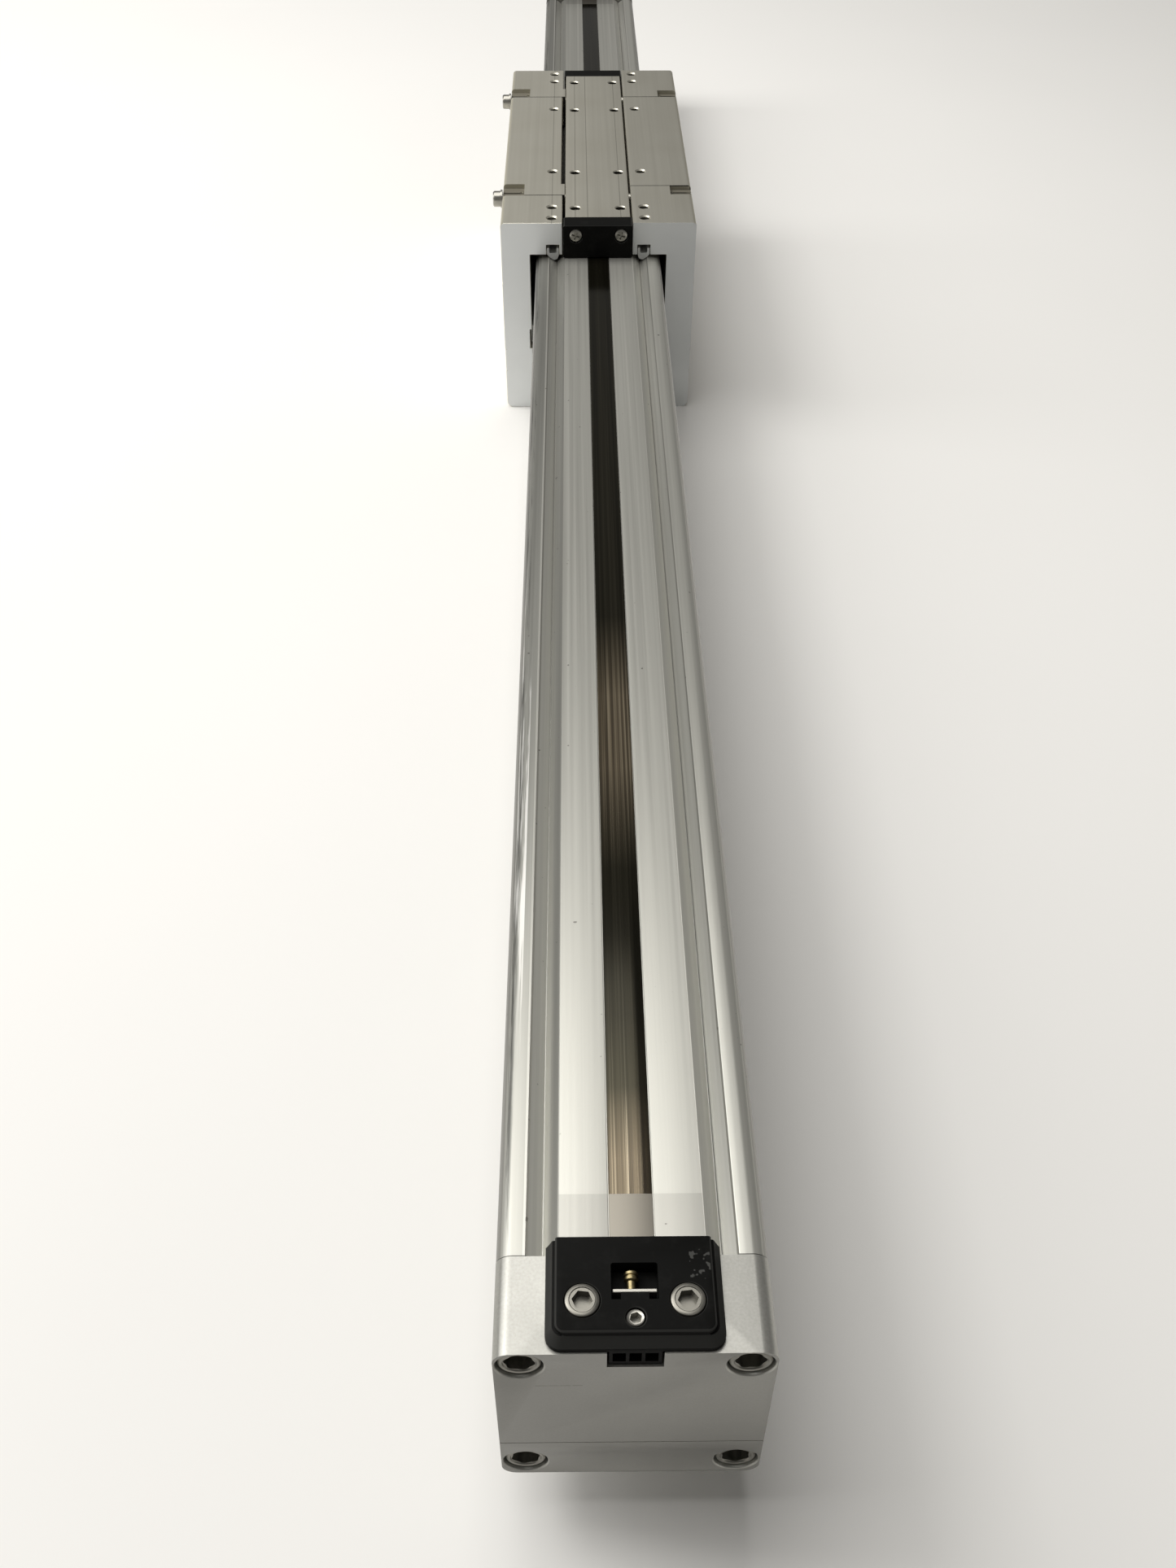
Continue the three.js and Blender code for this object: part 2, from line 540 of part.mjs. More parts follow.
function buildCarriage() {
  place(carriage, "piston_core", anodised, pistonCore());
  place(carriage, "near_piston_seal", sealRubber, pistonSeal(-1));
  place(carriage, "far_piston_seal", sealRubber, pistonSeal(1));
  place(carriage, "yoke", anodised, yoke());
  for (const [end, side] of [["near", -1], ["far", 1]]) {
    place(carriage, `${end}_wiper_cover`, blackPlastic, wiperCover(side));
    place(carriage, `${end}_wiper_screw_left`, steel, wiperScrew(side, -WIPER_SCREW_X));
    place(carriage, `${end}_wiper_screw_right`, steel, wiperScrew(side, WIPER_SCREW_X));
  }
  for (const hand of ["left", "right"]) {
    const spans = {
      near: [CARRIAGE_FRONT, FRONT_SEAM[hand] - GAP / 2],
      middle: [FRONT_SEAM[hand] + GAP / 2, REAR_SEAM[hand] - GAP / 2],
      far: [REAR_SEAM[hand] + GAP / 2, CARRIAGE_REAR],
    };
    for (const [end, [y0, y1]] of Object.entries(spans)) {
      const block = guideBlock(hand, y0, y1, FLANGE_INNER[hand][end]);
      place(carriage, `${hand}_${end}_block`, anodised, block);
    }
    place(carriage, `${hand}_upper_shoe`, shoePlastic, upperShoe(hand));
    place(carriage, `${hand}_lower_shoe`, shoePlastic, lowerShoe(hand));
    const [nearY, farY] = CLAMP_SCREW_PLACES;
    place(carriage, `${hand}_near_clamp_screw`, steel, clampScrew(hand, nearY));
    place(carriage, `${hand}_far_clamp_screw`, steel, clampScrew(hand, farY));
  }
}

buildRail();
buildCarriage();

export default part;
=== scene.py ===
"""Looks of a linear guide carriage on its band-sealed rail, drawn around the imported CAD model.

Shapes are drawn in millimetres. Heights count from the rail's underside, as in the CAD source;
to_metres() turns a drawn mesh into the row frame.
"""

import math

import bmesh
import bpy
from mathutils import Matrix, Vector


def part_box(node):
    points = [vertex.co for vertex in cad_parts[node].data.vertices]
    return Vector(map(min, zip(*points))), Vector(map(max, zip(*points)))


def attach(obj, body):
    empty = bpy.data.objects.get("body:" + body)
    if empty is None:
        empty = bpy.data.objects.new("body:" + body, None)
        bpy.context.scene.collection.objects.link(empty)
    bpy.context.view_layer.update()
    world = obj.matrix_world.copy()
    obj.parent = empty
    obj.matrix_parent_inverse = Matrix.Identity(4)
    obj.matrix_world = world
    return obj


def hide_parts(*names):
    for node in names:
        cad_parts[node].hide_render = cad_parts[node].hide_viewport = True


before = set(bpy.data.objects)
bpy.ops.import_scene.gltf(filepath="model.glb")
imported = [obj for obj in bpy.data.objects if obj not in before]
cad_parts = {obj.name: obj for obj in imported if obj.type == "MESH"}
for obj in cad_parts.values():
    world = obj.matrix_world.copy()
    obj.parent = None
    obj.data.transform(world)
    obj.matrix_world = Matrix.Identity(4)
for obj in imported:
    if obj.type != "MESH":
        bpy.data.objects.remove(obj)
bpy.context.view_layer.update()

# ---- sizes taken from the frame, in millimetres --------------------------------------------------
MM = 0.001


def extent(node, axis):
    """Lowest and highest coordinate of a CAD node along axis 0, 1 or 2, in millimetres."""
    low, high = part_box(node)
    return low[axis] / MM, high[axis] / MM


LIFT = extent("barrel", 2)[0]
BARREL_START, BARREL_END = extent("barrel", 1)
NEAR_END = extent("near_end_cap", 1)[0]
FAR_END = extent("far_end_cap", 1)[1]
CAP_LENGTH = 24.0
RAIL_HALF = extent("barrel", 0)[1]
LAND = extent("barrel", 2)[1] - LIFT
CAP_TOP = extent("near_end_cap", 2)[1] - LIFT
YOKE_START, YOKE_END = extent("yoke", 1)
YOKE_LEFT, YOKE_RIGHT = extent("yoke", 0)
YOKE_TOP = extent("yoke", 2)[1] - LIFT
CARRIAGE_CENTRE = (YOKE_START + YOKE_END) / 2
CARRIAGE_HALF = extent("right_middle_block", 0)[1]
FLANGE_TOP = extent("right_middle_block", 2)[1] - LIFT
FLANGE_BOTTOM = 65.7
LEG_INNER = 35.5
POCKET_FLOOR = 80.1
CLAMP_PLACES = [sum(extent(f"left_{end}_clamp_screw", 1)) / 2 for end in ("near", "far")]
CLAMP_HEIGHT = 77.3

# ---- driving sizes of the detail, in millimetres -------------------------------------------------
BORE_RADIUS = 20.0
BORE_HEIGHT = 30.0
CAP_SCREW_X = 26.4
CAP_SCREW_INSET = 0.7
CAP_SCREW_HEIGHTS = {"lower": 7.0, "upper": 59.0}
COVER_TOP = 71.4
COVER_SCREW_X = 12.0
COVER_SCREW_INSET = 9.55
SET_SCREW_INSET = 5.45
WINDOW_INSET = (11.3, 18.6)
WINDOW_HALF = 5.4
WINDOW_FLOOR = 66.9
PLATE_INSET = 11.6
BAND_HALF = 5.35
YOKE_HOLE_X = 11.8
FLANGE_HOLE_X = 24.0
HOLE_PITCH = 49.5
END_HOLE_STEP = 2.287
WIPER_SCREW_X = 11.7
WIPER_SCREW_HEIGHT = 76.4
WIPED_FROM = 40.5  # the seals run over the rail between here and the same place at the far end
SCRIBED_HEIGHT = 18.0  # line across each end cap's outer face
SCRATCH_HEIGHT = 49.3
POCKET_INNER = 38.9
FLANGE_INNER = {
    "left": {"near": 18.6, "middle": 19.3, "far": 18.6},
    "right": {"near": 17.8, "middle": 17.8, "far": 17.8},
}
TAB_INNER = 17.3  # the left blocks' tabs reach in to here
CLAMP_HOLE_RADIUS = 2.9
YOKE_SHOULDER = 0.8  # the yoke's upper right edge stands back by this much
SHOE_SLOT_DEPTH = 1.1
MILLED_END = 119.0  # the carriage's end faces lie beyond this distance from its centre

SIDES = {"left": -1, "right": 1}


# ---- mesh helpers --------------------------------------------------------------------------------
def to_metres(obj):
    """Turns a mesh drawn in millimetres above the rail's underside into the row frame."""
    obj.data.transform(Matrix.Scale(MM, 4) @ Matrix.Translation((0, 0, LIFT)))
    return obj


def add_object(name, bm):
    bmesh.ops.recalc_face_normals(bm, faces=bm.faces)
    mesh = bpy.data.meshes.new(name)
    bm.to_mesh(mesh)
    bm.free()
    obj = bpy.data.objects.new(name, mesh)
    bpy.context.scene.collection.objects.link(obj)
    return obj


def rounded(corners, steps=5):
    """Outline points from corners (x, z) or (x, z, radius), each radius drawn as an arc."""
    points = []
    for i, corner in enumerate(corners):
        here = Vector(corner[:2])
        if len(corner) < 3:
            points.append(here)
            continue
        radius = corner[2]
        to_last = (Vector(corners[i - 1][:2]) - here).normalized()
        to_next = (Vector(corners[(i + 1) % len(corners)][:2]) - here).normalized()
        half = to_last.angle(to_next) / 2
        centre = here + (to_last + to_next).normalized() * (radius / math.sin(half))
        start = here + to_last * (radius / math.tan(half)) - centre
        end = here + to_next * (radius / math.tan(half)) - centre
        for k in range(steps + 1):
            points.append(centre + start.lerp(end, k / steps).normalized() * radius)
    return points


def mirror(corners):
    """The same corners on the other side of the centre plane, still in anticlockwise order."""
    return [(-c[0], *c[1:]) for c in reversed(corners)]


def sweep(name, outline, start, end, axis="y"):
    """A bar along an axis, its section an outline of (x, z) along y, (y, z) along x or (x, y) along z."""
    spot = {
        "y": lambda p, t: (p[0], t, p[1]),
        "x": lambda p, t: (t, p[0], p[1]),
        "z": lambda p, t: (p[0], p[1], t),
    }[axis]
    bm = bmesh.new()
    first = [bm.verts.new(spot(p, start)) for p in outline]
    last = [bm.verts.new(spot(p, end)) for p in outline]
    bm.faces.new(first)
    bm.faces.new(last[::-1])
    for i in range(len(outline)):
        j = (i + 1) % len(outline)
        bm.faces.new((first[i], last[i], last[j], first[j]))
    return add_object(name, bm)


def block(name, x0, x1, y0, y1, z0, z1):
    return sweep(name, [(x0, z0), (x1, z0), (x1, z1), (x0, z1)], y0, y1)


AXIS_TURN = {
    "z": Matrix.Identity(4),
    "-z": Matrix.Rotation(math.pi, 4, "X"),
    "x": Matrix.Rotation(math.pi / 2, 4, "Y"),
    "-x": Matrix.Rotation(-math.pi / 2, 4, "Y"),
    "y": Matrix.Rotation(-math.pi / 2, 4, "X"),
    "-y": Matrix.Rotation(math.pi / 2, 4, "X"),
}


def turned(name, profile, place, axis="z", segments=40):
    """A turned piece: profile is (radius, height) from its bottom to its top, height running along axis."""
    bm = bmesh.new()
    rings = []
    for radius, height in profile:
        if radius == 0:
            rings.append([bm.verts.new((0, 0, height))])
            continue
        ring = []
        for i in range(segments):
            angle = 2 * math.pi * i / segments
            ring.append(bm.verts.new((radius * math.cos(angle), radius * math.sin(angle), height)))
        rings.append(ring)
    for low, high in zip(rings, rings[1:]):
        for i in range(segments):
            j = (i + 1) % segments
            corners = [low[i % len(low)], low[j % len(low)], high[j % len(high)], high[i % len(high)]]
            corners = [c for k, c in enumerate(corners) if c not in corners[:k]]
            bm.faces.new(corners)
    for ring, flip in ((rings[0], -1), (rings[-1], 1)):
        if len(ring) > 1:
            bm.faces.new(ring[::flip])
    bmesh.ops.transform(bm, matrix=Matrix.Translation(place) @ AXIS_TURN[axis], verts=bm.verts)
    return add_object(name, bm)


def hexagon(name, across_flats, low, high, place, axis="z", turn=0.0):
    radius = across_flats / math.sqrt(3)
    outline = []
    for i in range(6):
        angle = turn + math.pi * i / 3
        outline.append((radius * math.cos(angle), radius * math.sin(angle)))
    obj = sweep(name, outline, low, high, "z")
    obj.data.transform(Matrix.Translation(place) @ AXIS_TURN[axis])
    return obj


def six_lobe(name, radius, low, high, place, axis="z", turn=0.0):
    """Cutter for a six-lobed driver socket; radius reaches the tips of its lobes."""
    outline = []
    for i in range(60):
        angle = 2 * math.pi * i / 60
        reach = radius * (0.94 + 0.06 * math.cos(6 * (angle - turn)))
        outline.append((reach * math.cos(angle), reach * math.sin(angle)))
    obj = sweep(name, outline, low, high, "z")
    obj.data.transform(Matrix.Translation(place) @ AXIS_TURN[axis])
    return obj


def apply_modifiers(obj):
    graph = bpy.context.evaluated_depsgraph_get()
    mesh = bpy.data.meshes.new_from_object(obj.evaluated_get(graph))
    obj.modifiers.clear()
    obj.data = mesh
    return obj


def boolean(obj, operation, tools):
    """Cuts or joins tools one after another, and removes them."""
    for tool in tools:
        change = obj.modifiers.new("boolean", "BOOLEAN")
        change.operation = operation
        change.solver = "EXACT"
        change.object = tool
        apply_modifiers(obj)
        bpy.data.objects.remove(tool)
    return obj


def cut(obj, *tools):
    return boolean(obj, "DIFFERENCE", tools)


def join(obj, *tools):
    return boolean(obj, "UNION", tools)


def soften(obj, width, segments=1, angle=35):
    """Breaks every sharp edge a little, as deburring or moulding does."""
    bevel = obj.modifiers.new("edge", "BEVEL")
    bevel.width = width
    bevel.segments = segments
    bevel.limit_method = "ANGLE"
    bevel.angle_limit = math.radians(angle)
    bevel.use_clamp_overlap = True
    return smooth(apply_modifiers(obj), 30 if segments == 1 else 14)


def smooth(obj, angle=32):
    for polygon in obj.data.polygons:
        polygon.use_smooth = True
    obj.data.set_sharp_from_angle(angle=math.radians(angle))
    return obj


def finish_piece(obj, body, slot, material, *nodes):
    """Puts a drawn piece into the row frame, hangs it on its body, gives it its material and hides the CAD
    nodes it replaces.
    """
    to_metres(obj)
    obj.data.materials.clear()
    obj.data.materials.append(material)
    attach(obj, body)
    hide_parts(*nodes)
    return obj


# ---- material helpers ----------------------------------------------------------------------------
class Shader:
    """A material's node tree, with short calls for the nodes used here."""

    def __init__(self, name, metallic, roughness, **constants):
        self.material = bpy.data.materials.new(name)
        self.material.use_nodes = True
        self.tree = self.material.node_tree
        self.surface = self.tree.nodes["Principled BSDF"]
        self.surface.inputs["Metallic"].default_value = metallic
        self.surface.inputs["Roughness"].default_value = roughness
        for key, value in constants.items():
            self.surface.inputs[key.replace("_", " ")].default_value = value
        self.coordinates = self.node("ShaderNodeTexCoord")
        self.place = self.coordinates.outputs["Object"]

    def node(self, kind, **settings):
        made = self.tree.nodes.new(kind)
        for key, value in settings.items():
            setattr(made, key, value)
        return made

    def feed(self, socket, value):
        if isinstance(value, bpy.types.NodeSocket):
            self.tree.links.new(value, socket)
        else:
            socket.default_value = value

    def math(self, operation, first, second=0.0, third=0.0):
        made = self.node("ShaderNodeMath", operation=operation)
        for socket, value in zip(made.inputs, (first, second, third)):
            self.feed(socket, value)
        return made.outputs[0]

    def axis(self, name):
        """One coordinate of the surface point, in metres."""
        made = self.node("ShaderNodeSeparateXYZ")
        self.feed(made.inputs[0], self.place)
        return made.outputs[name]

    def noise(self, scale, stretch=(1, 1, 1), detail=4.0, roughness=0.55):
        """Noise from 0 to 1; scale is in cycles per metre before the stretch."""
        mapping = self.node("ShaderNodeMapping")
        mapping.inputs["Scale"].default_value = stretch
        self.feed(mapping.inputs["Vector"], self.place)
        made = self.node("ShaderNodeTexNoise")
        made.inputs["Scale"].default_value = scale
        made.inputs["Detail"].default_value = detail
        made.inputs["Roughness"].default_value = roughness
        self.feed(made.inputs["Vector"], mapping.outputs[0])
        return made.outputs["Fac"]

    def remap(self, value, low, high, out_low=0.0, out_high=1.0):
        made = self.node("ShaderNodeMapRange", clamp=True)
        for socket, number in zip(made.inputs, (value, low, high, out_low, out_high)):
            self.feed(socket, number)
        return made.outputs[0]

    def mix(self, share, first, second):
        made = self.node("ShaderNodeMix", data_type="RGBA")
        self.feed(made.inputs["Factor"], share)
        for socket, colour in ((made.inputs[6], first), (made.inputs[7], second)):
            self.feed(socket, colour)
        return made.outputs[2]

    def colour(self, value):
        self.feed(self.surface.inputs["Base Color"], value)

    def rough(self, value):
        self.feed(self.surface.inputs["Roughness"], value)

    def bump(self, height, strength, distance):
        made = self.node("ShaderNodeBump")
        made.inputs["Strength"].default_value = strength
        made.inputs["Distance"].default_value = distance
        self.feed(made.inputs["Height"], height)
        self.feed(self.surface.inputs["Normal"], made.outputs[0])

    def away(self, value, centre):
        return self.math("ABSOLUTE", self.math("SUBTRACT", value, centre))

    def near(self, value, centre, half):
        """1 where value is within half of centre, else 0."""
        return self.math("LESS_THAN", self.away(value, centre), half)

    def hill(self, value, centre, half, fade):
        """1 within half of centre, falling to 0 over a further fade."""
        return self.remap(self.away(value, centre), half, half + fade, 1.0, 0.0)

    def scaled(self, colour, factor):
        made = self.node("ShaderNodeVectorMath", operation="SCALE")
        self.feed(made.inputs[0], colour)
        self.feed(made.inputs["Scale"], factor)
        return made.outputs[0]

    def facing(self, axis):
        """1 on faces square to the axis, such as the milled ends along Y, else 0."""
        made = self.node("ShaderNodeSeparateXYZ")
        self.feed(made.inputs[0], self.coordinates.outputs["Normal"])
        return self.math("GREATER_THAN", self.math("ABSOLUTE", made.outputs[axis]), 0.9)

    def tilted(self, axis, low, high):
        """1 where the surface normal's share along the axis lies between low and high, else 0."""
        made = self.node("ShaderNodeSeparateXYZ")
        self.feed(made.inputs[0], self.coordinates.outputs["Normal"])
        return self.near(self.math("ABSOLUTE", made.outputs[axis]), (low + high) / 2, (high - low) / 2)

    def beyond(self, axis, distance):
        """1 where the coordinate is further than distance (millimetres) from the centre, else 0."""
        return self.math("GREATER_THAN", self.math("ABSOLUTE", self.axis(axis)), distance * MM)


def rgb(red, green, blue):
    return (red, green, blue, 1.0)


# ---- materials -----------------------------------------------------------------------------------
# Painted light and shade: each strip of the rail's section is made a little brighter or darker, changing
# along the rail, to stand for highlights and reflections. Each strip is (centre x, half width, brightness at
# the near end, brightness from 100 mm before the middle), in millimetres.
LIGHT_SHADE_STRIPS = [
    (-30.3, 4.2, 0.74, 0.58), (-23.4, 1.95, 1.50, 1.0), (-19.4, 1.9, 0.50, 0.66),
    (-11.6, 6.0, 0.90, 1.04), (11.6, 6.0, 0.84, 1.04), (19.4, 1.9, 1.50, 1.25), (23.4, 1.95, 0.48, 0.88),
]


def rail_material():
    """Clear anodised extrusion: fine lines along its length, darker lands where no seal has run, painted
    light and shade on strips of its section and on its sides, a painted dark line at each end and painted
    glints on its left rounding.
    """
    s = Shader("anodised_rail", 0.72, 0.34)
    x, y, z = s.axis("X"), s.axis("Y"), s.axis("Z")
    lines = s.noise(900, (1, 0.004, 1), detail=3)
    broad = s.noise(60, (1, 0.02, 1), detail=2)
    tone = s.mix(s.remap(lines, 0.3, 0.7), rgb(0.52, 0.515, 0.47), rgb(0.59, 0.585, 0.535))
    tone = s.mix(s.remap(broad, 0.35, 0.7, 0, 0.35), tone, rgb(0.48, 0.475, 0.43))
    on_top = s.math("GREATER_THAN", z, (LIFT + LAND - 0.3) * MM)
    on_land = s.math("MULTIPLY", s.near(x, 0.0, 17.6 * MM), on_top)
    unwiped = s.math("SUBTRACT", 1.0, s.near(y, 0.0, (FAR_END - WIPED_FROM) * MM))
    unwiped = s.math("MULTIPLY", on_land, unwiped)
    tone = s.mix(s.math("MULTIPLY", unwiped, 0.5), tone, rgb(0.36, 0.35, 0.32))
    high = s.remap(z, (LIFT + 60.0) * MM, (LIFT + 61.5) * MM)
    rounding = s.math("MULTIPLY", s.remap(x, -29.2 * MM, -30.2 * MM), high)
    scuffs = s.remap(s.noise(150, (3.0, 0.07, 3.0), detail=6, roughness=0.7), 0.49, 0.58)
    tone = s.mix(s.math("MULTIPLY", scuffs, s.math("MULTIPLY", rounding, 0.75)), tone, rgb(0.11, 0.11, 0.10))
    # Painted shade: faces square to X, the rail's sides, are darkened.
    tone = s.mix(s.math("MULTIPLY", s.tilted("X", 0.72, 1.2), 0.8), tone, rgb(0.30, 0.295, 0.275))
    specks = s.remap(s.noise(420, detail=1), 0.775, 0.81, 0, 0.7)
    tone = s.mix(specks, tone, rgb(0.12, 0.11, 0.10))
    brightness = 1.0
    # Painted light and shade: each strip's brightness is scaled here.
    for centre, half, at_end, at_middle in LIGHT_SHADE_STRIPS:
        within = s.near(x, centre * MM, half * MM)
        change = s.math("SUBTRACT", s.remap(y, -500 * MM, -100 * MM, at_end, at_middle), 1.0)
        brightness = s.math("MULTIPLY", brightness, s.math("MULTIPLY_ADD", within, change, 1.0))
    tone = s.scaled(tone, brightness)
    # Painted highlight: bright glint patches on the left rounding.
    glint_patch = s.math("MULTIPLY", s.near(x, -29.6 * MM, 1.6 * MM), s.hill(y, -340 * MM, 60 * MM, 60 * MM))
    glints = s.remap(s.noise(110, (3.0, 0.06, 3.0), detail=5, roughness=0.65), 0.50, 0.56, 0, 0.85)
    tone = s.mix(s.math("MULTIPLY", glint_patch, glints), tone, rgb(0.93, 0.92, 0.88))
    # Painted shade: the last 0.45 mm of the rail beside each end cap is darkened almost to black.
    tone = s.mix(s.math("MULTIPLY", s.beyond("Y", BARREL_END - 0.45), 0.85), tone, rgb(0.02, 0.02, 0.018))
    s.colour(tone)
    s.rough(s.remap(lines, 0.3, 0.7, 0.31, 0.39))
    s.bump(lines, 0.12, 0.00004)
    return s.material


def cap_material():
    """Satin anodised end caps; the outer faces are darkened as painted shade, and painted shade darkens the
    cap towards its left side.
    """
    s = Shader("anodised_cap", 0.75, 0.36)
    grain = s.noise(1500, detail=3)
    clouds = s.noise(55, detail=3)
    tone = s.mix(s.remap(grain, 0.3, 0.7), rgb(0.44, 0.435, 0.40), rgb(0.51, 0.505, 0.47))
    tone = s.mix(s.remap(clouds, 0.45, 0.75, 0, 0.3), tone, rgb(0.38, 0.375, 0.34))
    # Painted shade: faces square to Y, the caps' outer faces, are darkened.
    tone = s.mix(s.math("MULTIPLY", s.facing("Y"), 0.7), tone, rgb(0.25, 0.245, 0.23))
    broken = s.remap(s.noise(420, (1, 1, 0.3), detail=2), 0.42, 0.5, 0, 0.55)
    at_height = s.near(s.axis("Z"), (LIFT + SCRATCH_HEIGHT) * MM, 0.16 * MM)
    scratch = s.math("MULTIPLY", s.near(s.axis("X"), -17.5 * MM, 5.5 * MM), at_height)
    tone = s.mix(s.math("MULTIPLY", scratch, broken), tone, rgb(0.12, 0.115, 0.10))
    # Painted shade: darker towards the left side, 0.72 at the left edge rising to 0.90 from the middle on.
    tone = s.scaled(tone, s.remap(s.axis("X"), -30 * MM, 0.0, 0.72, 0.90))
    s.colour(tone)
    s.rough(s.remap(clouds, 0.3, 0.7, 0.32, 0.4))
    s.bump(grain, 0.1, 0.00003)
    return s.material


def in_tapped_holes(s):
    """1 inside the carriage's tapped holes, where shade is painted, else 0."""
    across = s.math("ABSOLUTE", s.axis("X"))
    along = s.math("SUBTRACT", s.axis("Y"), CARRIAGE_CENTRE * MM)
    to_pitch = s.math("PINGPONG", along, HOLE_PITCH / 2 * MM)
    to_last = s.away(s.math("ABSOLUTE", along), END_HOLE_STEP * HOLE_PITCH * MM)
    to_row = s.math("MINIMUM", s.away(across, YOKE_HOLE_X * MM), s.away(across, FLANGE_HOLE_X * MM))
    to_place = s.math("MINIMUM", to_pitch, to_last)
    inside = s.math("MULTIPLY", s.near(to_row, 0.0, 2.95 * MM), s.near(to_place, 0.0, 2.95 * MM))
    sunk = s.near(s.axis("Z"), (LIFT + YOKE_TOP - 6.5) * MM, 6 * MM)
    return s.math("MULTIPLY", inside, sunk)


def in_seams(s):
    """1 on the outer edges of the narrow gaps between the guide blocks, where shade is painted, else 0."""
    x, y = s.axis("X"), s.axis("Y")
    left_half = s.math("LESS_THAN", x, -17.4 * MM)
    right_half = s.math("GREATER_THAN", x, 17.7 * MM)
    left = s.near(y, (extent("left_near_block", 1)[1] + 0.15) * MM, 0.38 * MM)
    right = s.near(y, (extent("right_near_block", 1)[1] + 0.15) * MM, 0.38 * MM)
    rear = s.near(y, (extent("left_middle_block", 1)[1] + 0.15) * MM, 0.38 * MM)
    left = s.math("MULTIPLY", s.math("MAXIMUM", left, rear), left_half)
    right = s.math("MULTIPLY", s.math("MAXIMUM", right, rear), right_half)
    on_top = s.math("GREATER_THAN", s.axis("Z"), (LIFT + FLANGE_TOP - 0.5) * MM)
    on_inner_edge = s.near(s.math("ABSOLUTE", x), 18.1 * MM, 0.7 * MM)
    on_edge = s.math("MAXIMUM", s.beyond("X", CARRIAGE_HALF - 0.6), on_inner_edge)
    outer = s.math("MAXIMUM", on_top, on_edge)
    return s.math("MULTIPLY", s.math("ADD", left, right), outer)


def in_pockets(s):
    """1 on the walls and floors of the pockets milled into the flanges' outer corners, else 0."""
    across = s.math("ABSOLUTE", s.axis("X"))
    inner, outer = POCKET_INNER - 0.2, CARRIAGE_HALF - 0.3
    low, high = LIFT + POCKET_FLOOR - 0.1, LIFT + FLANGE_TOP - 0.15
    within = s.near(across, (inner + outer) / 2 * MM, (outer - inner) / 2 * MM)
    sunk = s.near(s.axis("Z"), (low + high) / 2 * MM, (high - low) / 2 * MM)
    return s.math("MULTIPLY", within, sunk)


def carriage_material():
    """Grey-beige anodised guide blocks and yoke: scribed lines on top, milled ends lighter partly by their
    bare finish and partly as painted light, painted shade in the tapped holes, pockets and block seams, and
    painted light falling to painted shade from left to right.
    """
    s = Shader("anodised_carriage", 0.75, 0.38)
    x, z = s.axis("X"), s.axis("Z")
    lines = s.noise(800, (1, 0.006, 1), detail=3)
    clouds = s.noise(28, detail=3)
    tone = s.mix(s.remap(lines, 0.3, 0.7), rgb(0.60, 0.58, 0.50), rgb(0.63, 0.61, 0.53))
    tone = s.mix(s.remap(clouds, 0.4, 0.75, 0, 0.35), tone, rgb(0.54, 0.515, 0.43))
    marks = s.near(x, -5.4 * MM, 0.22 * MM)
    for line in (-FLANGE_HOLE_X, -YOKE_HOLE_X, YOKE_HOLE_X):
        marks = s.math("MAXIMUM", marks, s.near(x, line * MM, 0.2 * MM))
    marks = s.math("MULTIPLY", marks, s.math("GREATER_THAN", z, (LIFT + YOKE_TOP - 0.2) * MM))
    tone = s.mix(s.math("MULTIPLY", marks, 0.55), tone, rgb(0.2, 0.19, 0.16))
    pocket = in_pockets(s)
    pocket_floor = s.near(z, (LIFT + POCKET_FLOOR) * MM, 0.05 * MM)
    # Painted shade in the pockets: walls darker and floors darker still, over a brownish tone of their own.
    tone = s.mix(pocket, tone, s.mix(pocket_floor, rgb(0.42, 0.40, 0.32), rgb(0.21, 0.195, 0.155)))
    # Painted shade: the insides of the tapped holes are darkened.
    tone = s.mix(in_tapped_holes(s), tone, rgb(0.07, 0.066, 0.055))
    # Painted shade: the gaps between the guide blocks are painted near black along their outer edges.
    tone = s.mix(in_seams(s), tone, rgb(0.03, 0.028, 0.024))
    # The end faces get a lighter, bluish tone: partly their bare milled finish, partly painted light.
    at_ends = s.math("GREATER_THAN", s.away(s.axis("Y"), CARRIAGE_CENTRE * MM), MILLED_END * MM)
    milled = s.math("MULTIPLY", s.facing("Y"), at_ends)
    tone = s.mix(milled, tone, s.mix(clouds, rgb(0.74, 0.76, 0.76), rgb(0.82, 0.84, 0.84)))
    # Painted light and shade: lighter on the left, darker on the right.
    tone = s.scaled(tone, s.remap(x, -20 * MM, 20 * MM, 1.08, 0.89))
    s.feed(s.surface.inputs["Metallic"], s.remap(s.math("MAXIMUM", milled, pocket), 0, 1, 0.75, 0.35))
    s.colour(tone)
    s.rough(s.remap(lines, 0.3, 0.7, 0.37, 0.40))
    s.bump(lines, 0.05, 0.00004)
    return s.material


def machined_material():
    """Bare turned and milled aluminium of the hidden piston."""
    s = Shader("machined_aluminium", 1.0, 0.32)
    rings = s.noise(700, (0.2, 1, 0.2), detail=2)
    s.colour(s.mix(s.remap(rings, 0.3, 0.7), rgb(0.62, 0.62, 0.62), rgb(0.74, 0.74, 0.74)))
    s.rough(s.remap(rings, 0.3, 0.7, 0.26, 0.38))
    s.bump(rings, 0.2, 0.00004)
    return s.material


